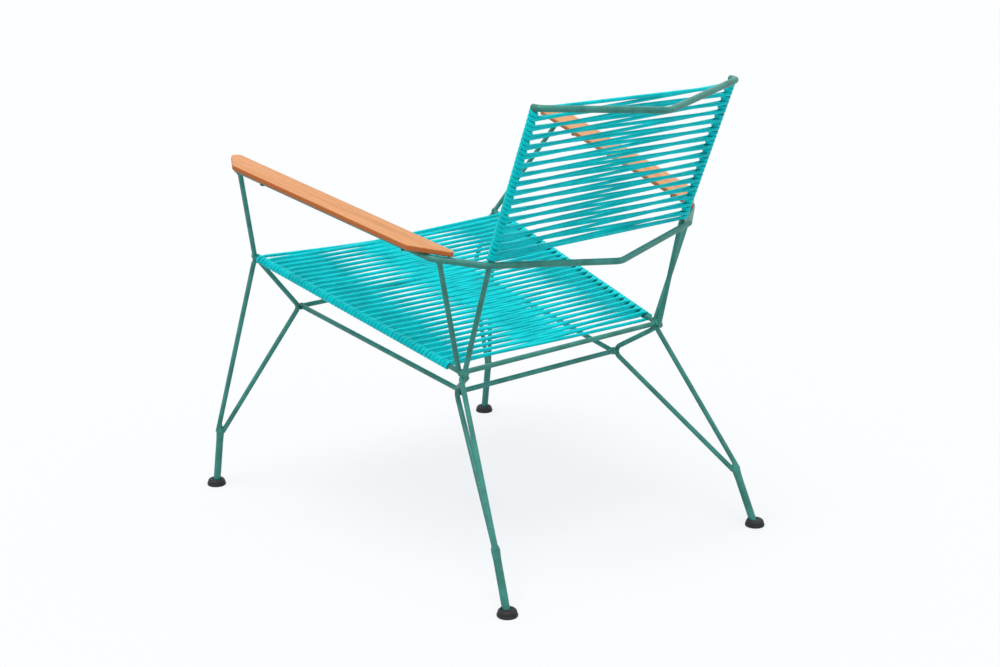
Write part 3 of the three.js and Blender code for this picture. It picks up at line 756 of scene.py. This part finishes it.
def collar(beads, line, radius, host, host_radius, seed):
    """The bead round a rod whose line starts on another one, the host.

    A point on the rod's surface is line[0] + radius * around + s * away. Its s, where that point
    meets the host's surface, is the larger root of a quadratic, and the bead is a ring of circles
    along those meeting points.
    """
    away, host_axis = unit(line[1] - line[0]), unit(host[1] - host[0])
    u = square_to(host_axis, away)
    around = circle(COLLAR_STEPS, u, np.cross(away, u))
    reach = line[0] + radius * around - host[0]
    flat_reach = reach - (reach @ host_axis)[:, None] * host_axis
    flat_away = away - (away @ host_axis) * host_axis
    a = flat_away @ flat_away
    b = 2 * flat_reach @ flat_away
    c = np.sum(flat_reach * flat_reach, axis=1) - host_radius ** 2
    s = (-b + np.sqrt(np.maximum(b * b - 4 * a * c, 0.0))) / (2 * a)
    centre = line[0] + radius * around + s[:, None] * away
    turns = np.linspace(0.0, 2 * math.pi, COLLAR_STEPS, endpoint=False)
    size = beads.bead * uneven(turns, beads.ripple, seed)
    return ring_shape(section_rings(centre, away, around, size, size, BEAD_SIDES), closed=True)


def spindle(beads, centre, axis, span, radius, seed):
    """A short weld that tapers to both ends: its radius is that of a circle's half, stretched along it."""
    reach = np.linspace(-1.0, 1.0, SPINDLE_STEPS)
    radii = radius * np.sqrt(1.0 - reach ** 2) * uneven(reach * 2.0, beads.ripple, seed)
    return turned_shape(radii, reach * span / 2, axis, centre, SPINDLE_SIDES)


def lap_weld(beads, contact, axis, normal, offset, span, radius, seed):
    """Two spindles in the crotches of rods that lie side by side: normal points from one to the other."""
    side = unit(np.cross(axis, normal)) * offset
    return joined([spindle(beads, contact + side, axis, span, radius, seed),
                   spindle(beads, contact - side, axis, span, radius, seed + 1)])


def filler(beads, radius, leg):
    """The filler that eases the lower leg's top into the hairpin, a turned shape that swells towards
    the join and narrows to a web above it."""
    heights = np.array([-1.0, -1.0, -0.6, -0.15, 0.0, 0.2, 0.5, 0.78, 0.84]) * beads.filler
    swell = np.array([0.0, 0.02, 0.4, 0.9, 1.0, 0.3, -2.2, -4.6, 0.0]) * beads.filler_swell
    return turned_shape(radius + swell, heights, leg["axis"], leg["join"], FILLER_SIDES)


def all_beads(rods, beads, lines):
    """Every weld of the chair's left half, each where two centre lines meet."""
    frame_radius, bow_radius = rods.frame_rod / 2, rods.bow_rod / 2
    rail, arm = points(rods.seat_front, rods.seat_rear), points(rods.arm_front, rods.arm_rear)
    ring, bow = lines["side_stretcher"], lines["bow_line"]
    welds = []

    # Rods whose line starts (1) or ends (-1) on another one, the host
    for host, host_radius, names, end in (
            (rail, frame_radius, ("front_post", "rear_post", "back_rod", "rear_rail"), 1),
            (ring, frame_radius, ("front_stretcher", "rear_stretcher"), 1),
            (arm, bow_radius, ("front_post",), -1),
            ((arm[1], bow[0]), bow_radius, ("rear_post",), -1),
            (lines["top_return"], bow_radius, ("back_rod",), -1)):
        for name in names:
            welds.append(collar(beads, lines[name][::end], frame_radius, host, host_radius, len(welds)))

    # Rods that cross or lie side by side
    touch = frame_radius + rods.weld_gap / 2
    rail_up, ring_axis, bow_axis = lines["seat_up"], unit(ring[1] - ring[0]), unit(bow[1] - bow[0])
    behind = square_to(-FORWARD, bow_axis)
    front_top = lines["front_leg"]["knee"] + rail_up * touch
    rear_top = lines["rear_leg"]["knee"] + rail_up * touch
    crossing = points(rods.bow_meets_back)[0] + behind * touch
    heavy, fillet = beads.heavy_bead, beads.fillet
    crotch = frame_radius * 0.75  # from where two rods touch to the weld beside it
    welds += [
        spindle(beads, front_top - SIDEWAYS * frame_radius / 2, SIDEWAYS, fillet * 0.8, heavy * 1.5, 20),
        spindle(beads, rear_top, lines["seat_axis"], fillet * 0.9, heavy * 1.5, 21),
        lap_weld(beads, rear_top - SIDEWAYS * rods.rear_knee / 2, SIDEWAYS, rail_up, crotch,
                 fillet, beads.bead, 22),
        lap_weld(beads, lines["front_stretcher"][0] + SIDEWAYS * touch, ring_axis, SIDEWAYS,
                 crotch, fillet, heavy, 24),
        lap_weld(beads, lines["rear_stretcher"][0] + SIDEWAYS * touch, ring_axis, SIDEWAYS,
                 crotch, fillet, heavy, 26),
        lap_weld(beads, crossing, bow_axis, behind, frame_radius * 0.85, fillet * 0.7, heavy, 28),
    ]
    for leg, seed in ((lines["front_leg"], 31), (lines["rear_leg"], 34)):
        welds += [filler(beads, rods.lower_leg_rod / 2, leg),
                  lap_weld(beads, leg["join"] + leg["axis"] * fillet / 2, leg["axis"],
                           unit(leg["ends"][0] - leg["ends"][1]), rods.frame_rod * 0.3, fillet * 1.6,
                           heavy, seed)]
    return joined(welds)


def strand_places(cord, first, pitch, strands, lean, skew, opened):
    """Where each strand leaves one rod and lands on the other, measured along the rods, with the angle
    of its landing and of the turning after it.

    Strand n leaves the outer face of its rod at first + pitch * n / 2. It lands on the inner face of
    the other rod, lower by the lean, and makes one and a half turns there. An opened winding has one
    strand before these, from outer face to outer face, with one turn after it. Its next strand is kept
    up by the rod that crosses behind, and turns only half round.
    """
    number = np.arange(-1 if opened else 0, strands)
    odd = number % 2
    base = first + pitch * number / 2
    leaves = base + skew * odd
    lands = base - lean + skew * (1 - odd)
    landing = np.full(len(number), math.pi)
    turning = np.full(len(number), 3 * math.pi)
    if opened:
        leaves[0], lands[0] = first - cord.opening_leaves, first - cord.opening_lands
        lands[1] = first + cord.first_lands
        landing[0] = 0.0
        turning[:2] = 2 * math.pi, math.pi
    return odd == 0, leaves, lands, landing, turning


def winding_shape(rods, cord, part, start, end, low, high, sags, seed):
    """One cord wound round two rods as a figure of eight, a tube whose section changes on its way. The
    first strand leaves low after the rods' start, and the last one high before their end.

    On a rod the path is a helix of radius rod / 2 + gap + thickness / 2, with its flat section facing
    the rod, and a sine of the turned share evens out the turns. Between the rods it is a straight line
    from face to face that sags by a half sine, and the section turns round over the landing.
    """
    strands, lean, skew, lead_turns = (getattr(cord, f"{part}_{size}")
                                       for size in ("strands", "lean", "skew", "lead"))
    opened = part == "back"
    pitch = 2 * (np.linalg.norm(end - start) - low - high) / (strands - 1)
    random = np.random.default_rng(seed)
    axis = unit(end - start)
    over, outward = unit(np.cross(SIDEWAYS, axis)), square_to(SIDEWAYS, axis)
    helix = rods.frame_rod / 2 + rods.weld_gap + cord.flat_thickness / 2
    even, leaves, lands, landing, turning = strand_places(cord, low, pitch, strands, lean, skew, opened)
    total = len(leaves)
    drift, stray = random.normal(0.0, cord.wander / 2, (total, 2)).T
    leaves, lands = leaves + drift, lands + drift
    side = np.where(even[:, None], 1.0, MIRROR)
    other = side * MIRROR
    hand = np.where(even, -1.0, 1.0)[:, None, None]

    def on_rod(places, turn, mirror):
        radial = (np.cos(turn)[..., None] * over + np.sin(turn)[..., None] * outward) * mirror
        return (start + axis * places[..., None]) * mirror + radial * helix, radial

    # Strands
    begin, finish = on_rod(leaves, np.zeros(total), side)[0], on_rod(lands, landing, other)[0]
    span = np.linalg.norm(finish - begin, axis=1).mean()
    near = NEAR_LANDING / span
    middle = np.linspace(near[-1], 1.0 - near[-1], MIDDLE_STEPS)[1:-1]
    shares = np.concatenate([near, middle, 1.0 - near[::-1]])
    slack = np.append(sags[0], np.full(total - 1, sags[1]))
    bow = stray[:, None, None] * axis - slack[:, None, None] * over
    strand_path = (begin[:, None] + (finish - begin)[:, None] * shares[:, None]
                   + np.sin(math.pi * shares)[:, None] * bow)
    strand_over = np.broadcast_to(-hand * over, strand_path.shape)
    distance = np.minimum(shares, 1.0 - shares) * span
    strand_flat = 1.0 - smooth((distance - STAYS_FLAT) / cord.landing)

    # Turns round the rods. The last one heads for where a next strand would leave, and those of one
    # and a half turns are evened out
    turned = np.linspace(0.0, 1.0, TURN_STEPS)[1:-1]
    advance = np.append(leaves[1:], lands[-1] + 1.5 * pitch / 2) - lands
    even_out = np.where(turning > 2.5 * math.pi, (advance * 2 / 3 - pitch / 2) / math.sqrt(3.0), 0.0)
    places = (lands[:, None] + advance[:, None] * turned
              + even_out[:, None] * np.sin(2 * math.pi * turned))
    wide = np.full((total, len(shares) + len(turned)), float(cord.flat_width))
    if opened:
        bulge = np.sin(math.pi * turned)
        places[0] += cord.opening_rise * bulge
        wide[0, len(shares):] -= (cord.flat_width - cord.opening_width) * bulge
    turn_path, radial = on_rod(places, landing[:, None] - turning[:, None] * turned, other[:, None])

    # Both in one line, whose last turns stop after a third of their way
    path = np.concatenate([strand_path, turn_path], axis=1).reshape(-1, 3)
    overs = np.concatenate([strand_over, hand * radial], axis=1).reshape(-1, 3)
    flat = np.tile(np.append(strand_flat, np.ones(len(turned))), total)
    kept = len(path) - len(turned) + len(turned) // 3

    # The cord's first end, before it leaves its rod
    lead = np.linspace(2 * math.pi * lead_turns, 0.0, 3 + round(LEAD_STEPS * lead_turns))[:-1]
    lead_path, radial = on_rod(leaves[0] - pitch / 2 * lead / (2 * math.pi), lead, side[0])
    path = np.concatenate([lead_path, path[:kept]])
    overs = np.concatenate([radial * -hand[0, 0], overs[:kept]])
    flat = np.append(np.ones(len(lead)), flat[:kept])
    wide = np.append(np.full(len(lead), float(cord.flat_width)), wide.ravel()[:kept])

    along = tangents(path)
    thick = square_to(overs, along)
    half_thick = (cord.diameter + (cord.flat_thickness - cord.diameter) * flat) / 2
    half_wide = (cord.diameter + (wide - cord.diameter) * flat) / 2
    return ring_shape(section_rings(path, np.cross(thick, along), thick, half_wide, half_thick,
                                    CORD_SIDES))


def arm_frame(rods):
    """The arm's front and rear, then the board's directions: across it and outwards, along it to the
    rear, and up from its face."""
    front, rear = points(rods.arm_front, rods.arm_rear)
    along = unit(rear - front)
    across = square_to(square_to(square_to(SIDEWAYS, along), UPWARD), along)
    return front, rear, across, along, unit(np.cross(across, along))


def armrest_shape(rods, board):
    """A board: rings of its outline, each corner an arc, drawn in along a slant at the bottom edge and
    along a quarter circle at the top one."""
    front, rear, across, along, up = arm_frame(rods)
    full = board.front_overhang + np.linalg.norm(rear - front) + board.rear_overhang
    half = board.width / 2
    corners = np.array([
        (-half, board.front_facet),
        (board.tip_across - half, 0.0),
        (half, board.front_corner),
        (half, full - board.rear_taper),
        (-half, full),
    ])
    arriving = unit(corners - np.roll(corners, 1, axis=0))
    left_of = np.array([[0.0, 1.0], [-1.0, 0.0]])
    before, after = arriving @ left_of, np.roll(arriving, -1, axis=0) @ left_of
    turn_cosine = np.sum(before * after, axis=1)
    rounds = np.array([board.corner_round] * 4 + [board.tip_round])
    centres = corners + rounds[:, None] * (before + after) / (1.0 + turn_cosine[:, None])
    swing = np.arccos(np.clip(turn_cosine, -1.0, 1.0))[:, None] * np.linspace(0.0, 1.0, CORNER_STEPS)
    angles = np.arctan2(-before[:, 1:], -before[:, :1]) + swing
    rays = np.stack([np.cos(angles), np.sin(angles)], axis=-1).reshape(-1, 2)

    quarter = np.linspace(0.0, math.pi / 2, 6)
    slant = np.array([1.0, 0.9, 0.5, 0.12, 0.03, 0.0])
    fall = np.array([0.0, 0.04, 0.5, 0.88, 1.0, 1.15])
    insets = np.append(board.bevel_width * slant, board.ease * (1.0 - np.cos(quarter)))
    heights = np.append(board.bevel_height * fall, board.thickness - board.ease * (1.0 - np.sin(quarter)))
    flat = (np.repeat(centres, CORNER_STEPS, axis=0)
            + (np.repeat(rounds, CORNER_STEPS) - insets[:, None])[..., None] * rays)
    local = np.concatenate([flat, np.broadcast_to(heights[:, None, None], (*flat.shape[:2], 1))], axis=2)
    base = front - along * board.front_overhang + up * (rods.bow_rod / 2 + rods.weld_gap)
    rings = base + local[..., :1] * across + local[..., 1:2] * along + local[..., 2:] * up
    return ring_shape(rings, grain=local)


def screw_shape(rods, board, place_share):
    """A button-head screw from below: shank, domed head and a six-sided socket whose radius is the
    distance to a hexagon's side at each angle."""
    front, rear, across, along, up = arm_frame(rods)
    centre = front + (rear - front) * place_share
    seat = rods.bow_rod / 2 + rods.weld_gap
    low, top = -seat - board.head_height, seat + board.screw_bite
    shank, head = board.screw_shank / 2, board.screw_head / 2
    socket, rim = head * 0.45, head * 0.45 * 1.15
    dome = [(rim + (head - rim) * math.sin(t), low + board.head_height * 0.85 * (1.0 - math.cos(t)), 0)
            for t in np.linspace(0.0, math.pi / 2, 7)[1:]]
    radius, height, hexagon = np.array([
        (socket, low + board.head_height * 0.6, 1), (socket, low + 0.1 * MM, 1), (rim, low, 0), *dome,
        (head, -seat, 0), (shank, -seat, 0), (shank, top - shank / 2, 0), (shank / 2, top, 0),
    ]).T[..., None]
    turn = np.linspace(0.0, 2 * math.pi, SCREW_SIDES, endpoint=False)
    to_side = math.cos(math.pi / 6) / np.cos(np.mod(turn, math.pi / 3) - math.pi / 6)
    reach = radius * (1.0 + hexagon * (to_side - 1.0))
    return ring_shape(centre + reach[..., None] * circle(SCREW_SIDES, across, along)
                      + height[..., None] * up)


def foot_shape(foot, leg):
    """A rubber foot: circles up its outside and over the rim, then down the slanted socket, whose
    circles are centred on the leg's line."""
    radius, top = foot.diameter / 2, foot.diameter / 2 * foot.top_share
    high, socket = foot.height, foot.socket / 2
    step = high * 0.36
    shoulder, ledge = radius - 1.0 * MM, step + 0.25 * MM
    outside = [(radius - 1.6 * MM, 0.0), (radius - 0.5 * MM, 0.35 * MM), (radius, 1.4 * MM),
               (radius, step - 0.7 * MM), (radius - 0.35 * MM, step), (shoulder, ledge)]
    outside += [(top + (shoulder - top) * math.cos(t), ledge + (high - 1.2 * MM - step) * math.sin(t))
                for t in np.linspace(0.0, math.pi / 2, 7)[1:]]
    outside += [(top - 0.3 * MM, high - 0.3 * MM), (top - 1.1 * MM, high)]
    inside = [(socket + 0.9 * MM, high), (socket + 0.2 * MM, high - 0.3 * MM), (socket, high - 1.0 * MM),
              (socket, foot.socket_floor)]
    radii, heights = np.array(outside + inside).T[..., None]
    ground, join = leg["ground"], leg["join"]
    slant = np.array([join[0] - ground[0], join[1] - ground[1], 0.0]) / join[2]
    follows = np.repeat([0.0, 1.0], [len(outside), len(inside)])[:, None]
    centres = ground + heights * UPWARD + follows * heights * slant
    return ring_shape(section_rings(centres, SIDEWAYS, -FORWARD, radii[:, 0], radii[:, 0], FOOT_SIDES))


def lower_leg_line(rods, foot, leg):
    """From the floor of the foot's socket, where the tilted end just clears it, to the join."""
    axis = leg["axis"]
    tilt = math.acos(float(axis[2]))
    low = foot.socket_floor + rods.weld_gap + rods.lower_leg_rod / 2 * math.sin(tilt)
    return [leg["ground"] + axis * low / axis[2], leg["join"]]


# Operators

def chair_and_lines(context):
    """The settings, and the centre lines worked out from them."""
    chair = context.scene.string_armchair
    return chair, chair_lines(chair.rods)


class STRINGCHAIR_OT_rails(Operator):
    """Adds the seat's side rails and rear rail"""

    bl_idname = "string_chair.rails"
    bl_label = "Seat Rails"

    def execute(self, context):
        chair, lines = chair_and_lines(context)
        add_rod(chair.rods, "seat_side_rail", lines["side_rail"], UPWARD)
        add_rod(chair.rods, "seat_rear_rail", lines["rear_rail"], UPWARD, pair=False)
        return {"FINISHED"}


class STRINGCHAIR_OT_legs(Operator):
    """Adds the four bent legs and their thicker lower legs"""

    bl_idname = "string_chair.legs"
    bl_label = "Legs"

    def execute(self, context):
        chair, lines = chair_and_lines(context)
        rods = chair.rods
        for name in ("front", "rear"):
            leg = lines[f"{name}_leg"]
            flat_of_leg = unit(np.cross(leg["knee"] - leg["join"], leg["elbow"] - leg["join"]))
            add_rod(rods, f"{name}_leg", leg["hairpin"], flat_of_leg)
            add_rod(rods, f"{name}_lower_leg", lower_leg_line(rods, chair.foot, leg), SIDEWAYS,
                    rods.lower_leg_rod)
        return {"FINISHED"}


class STRINGCHAIR_OT_stretchers(Operator):
    """Adds the ring of four stretchers under the seat"""

    bl_idname = "string_chair.stretchers"
    bl_label = "Stretchers"

    def execute(self, context):
        chair, lines = chair_and_lines(context)
        add_rod(chair.rods, "side_stretcher", lines["side_stretcher"], UPWARD)
        for name in ("front_stretcher", "rear_stretcher"):
            add_rod(chair.rods, name, lines[name], UPWARD, pair=False)
        return {"FINISHED"}


class STRINGCHAIR_OT_posts(Operator):
    """Adds the arm posts and the back rods"""

    bl_idname = "string_chair.posts"
    bl_label = "Posts"

    def execute(self, context):
        chair, lines = chair_and_lines(context)
        add_rod(chair.rods, "front_arm_post", lines["front_post"], SIDEWAYS)
        add_rod(chair.rods, "rear_arm_post", lines["rear_post"], FORWARD)
        add_rod(chair.rods, "back_rod", lines["back_rod"], SIDEWAYS)
        return {"FINISHED"}


class STRINGCHAIR_OT_bows(Operator):
    """Adds the arm rod with the lower bow, and the top bow"""

    bl_idname = "string_chair.bows"
    bl_label = "Bows"

    def execute(self, context):
        chair, lines = chair_and_lines(context)
        for name in ("arm_bow", "top_bow"):
            add_rod(chair.rods, name, lines[name], UPWARD, chair.rods.bow_rod, pair=False)
        return {"FINISHED"}


class STRINGCHAIR_OT_welds(Operator):
    """Adds the weld beads at every joint"""

    bl_idname = "string_chair.welds"
    bl_label = "Welds"

    def execute(self, context):
        chair, lines = chair_and_lines(context)
        half = all_beads(chair.rods, chair.beads, lines)
        add_piece("weld_beads", joined([half, half.mirrored()]), "frame_enamel", WELD_SHARP)
        return {"FINISHED"}


class STRINGCHAIR_OT_seat_cord(Operator):
    """Winds the seat"""

    bl_idname = "string_chair.seat_cord"
    bl_label = "Seat Cord"

    def execute(self, context):
        chair = context.scene.string_armchair
        rods, cord = chair.rods, chair.cord
        shape = winding_shape(rods, cord, "seat", *points(rods.seat_front, rods.seat_rear),
                              cord.seat_front_margin, cord.seat_rear_margin,
                              sags=(cord.front_sag, cord.sag), seed=5)
        add_piece("seat_cord", shape, "cord_plastic", CORD_SHARP, ("seat_cord_front", "seat_cord_rear"))
        return {"FINISHED"}


class STRINGCHAIR_OT_back_cord(Operator):
    """Winds the back"""

    bl_idname = "string_chair.back_cord"
    bl_label = "Back Cord"

    def execute(self, context):
        chair = context.scene.string_armchair
        rods, cord = chair.rods, chair.cord
        start, end = points(rods.bow_meets_back, rods.back_top)
        bow_half = rods.bow_rod / 2 / unit(end - start)[2]
        shape = winding_shape(rods, cord, "back", start, end, bow_half + cord.back_low_margin,
                              bow_half + cord.back_top_margin, sags=(0.0, 0.0), seed=8)
        add_piece("back_cord_shown", shape, "cord_plastic", CORD_SHARP, ("back_cord",))
        return {"FINISHED"}


class STRINGCHAIR_OT_armrests(Operator):
    """Adds the wooden armrests"""

    bl_idname = "string_chair.armrests"
    bl_label = "Armrests"

    def execute(self, context):
        chair = context.scene.string_armchair
        add_pair("armrest", armrest_shape(chair.rods, chair.armrest), "armrest_wood", WOOD_SHARP)
        return {"FINISHED"}


class STRINGCHAIR_OT_screws(Operator):
    """Adds the screws that hold the armrests from below"""

    bl_idname = "string_chair.screws"
    bl_label = "Armrest Screws"

    def execute(self, context):
        chair = context.scene.string_armchair
        for name, spot in (("front", chair.armrest.front_screw), ("rear", chair.armrest.rear_screw)):
            add_pair(f"armrest_screw_{name}", screw_shape(chair.rods, chair.armrest, spot),
                     "screw_steel", SCREW_SHARP)
        return {"FINISHED"}


class STRINGCHAIR_OT_feet(Operator):
    """Adds the rubber feet"""

    bl_idname = "string_chair.feet"
    bl_label = "Feet"

    def execute(self, context):
        chair, lines = chair_and_lines(context)
        for name in ("front", "rear"):
            add_pair(f"{name}_foot", foot_shape(chair.foot, lines[f"{name}_leg"]), "foot_rubber",
                     FOOT_SHARP)
        return {"FINISHED"}


def aim(thing, where, back):
    """Stands a lamp or camera at a place, with its back towards a direction."""
    back = unit(back)
    right = unit(np.cross(UPWARD, back))
    turn = np.stack([right, np.cross(back, right), back], axis=1)
    thing.matrix_world = Matrix([[*turn[row], where[row]] for row in range(3)] + [[0.0, 0.0, 0.0, 1.0]])


class STRINGCHAIR_OT_studio(Operator):
    """Adds the floor, the lights and the camera"""

    bl_idname = "string_chair.studio"
    bl_label = "Studio"

    def execute(self, context):
        scene = context.scene
        chair = scene.string_armchair
        studio = chair.studio
        scene.view_settings.view_transform = "Standard"

        half = studio.floor_size / 2
        mesh = bpy.data.meshes.new("studio_floor")
        mesh.from_pydata([(-half, -half, 0), (half, -half, 0), (half, half, 0), (-half, half, 0)], [],
                         [(0, 1, 2, 3)])
        mesh.materials.append(material_for("studio_floor"))
        new_object("studio_floor", mesh)

        light = bpy.data.lights.new("key_light", "SUN")
        light.energy = studio.key_strength
        light.angle = studio.key_angle
        aim(new_object("key_light", light), studio.key, studio.key)

        # The camera and glossy surfaces see a white backdrop; the chair is lit by a greyer dome
        scene.world = bpy.data.worlds.new("Studio")
        nodes = Nodes(scene.world)
        seen = nodes.add("Math", "Value", {
            0: nodes.add("LightPath", "Is Camera Ray"), 1: nodes.add("LightPath", "Is Glossy Ray"),
        }, operation="MAXIMUM")
        rise = nodes.add("SeparateXYZ", "Z", {"Vector": nodes.add("TexCoord", "Generated")})
        dome = nodes.ramp(rise, 0.0, 1.0, studio.dome_low, studio.dome_high)
        sky = nodes.add("Background", "Background", {
            "Color": linear(chair.finish.floor), "Strength": nodes.ramp(seen, 0.0, 1.0, dome, 1.0)})
        nodes.add("OutputWorld", inputs={"Surface": sky})

        lens = bpy.data.cameras.new("photo_camera")
        lens.sensor_width = studio.sensor
        lens.sensor_fit = "HORIZONTAL"
        lens.lens = studio.focal_pixels / studio.image_width * studio.sensor
        scene.camera = new_object("photo_camera", lens)
        level = math.cos(studio.elevation)
        aim(scene.camera, studio.camera, (math.sin(studio.azimuth) * level,
                                          -math.cos(studio.azimuth) * level,
                                          math.sin(studio.elevation)))
        return {"FINISHED"}


class STRINGCHAIR_PT_panel(Panel):
    """Lists the chair's groups of pieces"""

    bl_label = "String Armchair"
    bl_idname = "STRINGCHAIR_PT_panel"
    bl_space_type = "VIEW_3D"
    bl_region_type = "UI"
    bl_category = "String Armchair"

    def draw(self, context):
        for operator in OPERATORS:
            self.layout.operator(operator.bl_idname)


PROPERTY_GROUPS = (RodSizes, BeadSizes, CordSizes, ArmrestSizes, FootSizes, Finish, StudioSizes,
                   ChairSettings)
OPERATORS = (STRINGCHAIR_OT_rails, STRINGCHAIR_OT_legs, STRINGCHAIR_OT_stretchers,
             STRINGCHAIR_OT_posts, STRINGCHAIR_OT_bows, STRINGCHAIR_OT_welds,
             STRINGCHAIR_OT_seat_cord, STRINGCHAIR_OT_back_cord, STRINGCHAIR_OT_armrests,
             STRINGCHAIR_OT_screws, STRINGCHAIR_OT_feet, STRINGCHAIR_OT_studio)


def register():
    for group in (*PROPERTY_GROUPS, *OPERATORS, STRINGCHAIR_PT_panel):
        bpy.utils.register_class(group)
    bpy.types.Scene.string_armchair = PointerProperty(type=ChairSettings)


def unregister():
    del bpy.types.Scene.string_armchair
    for group in (STRINGCHAIR_PT_panel, *reversed(OPERATORS), *reversed(PROPERTY_GROUPS)):
        bpy.utils.unregister_class(group)


def main():
    register()
    for operator in OPERATORS:
        group, name = operator.bl_idname.split(".")
        getattr(getattr(bpy.ops, group), name)()


if __name__ == "__main__":
    main()
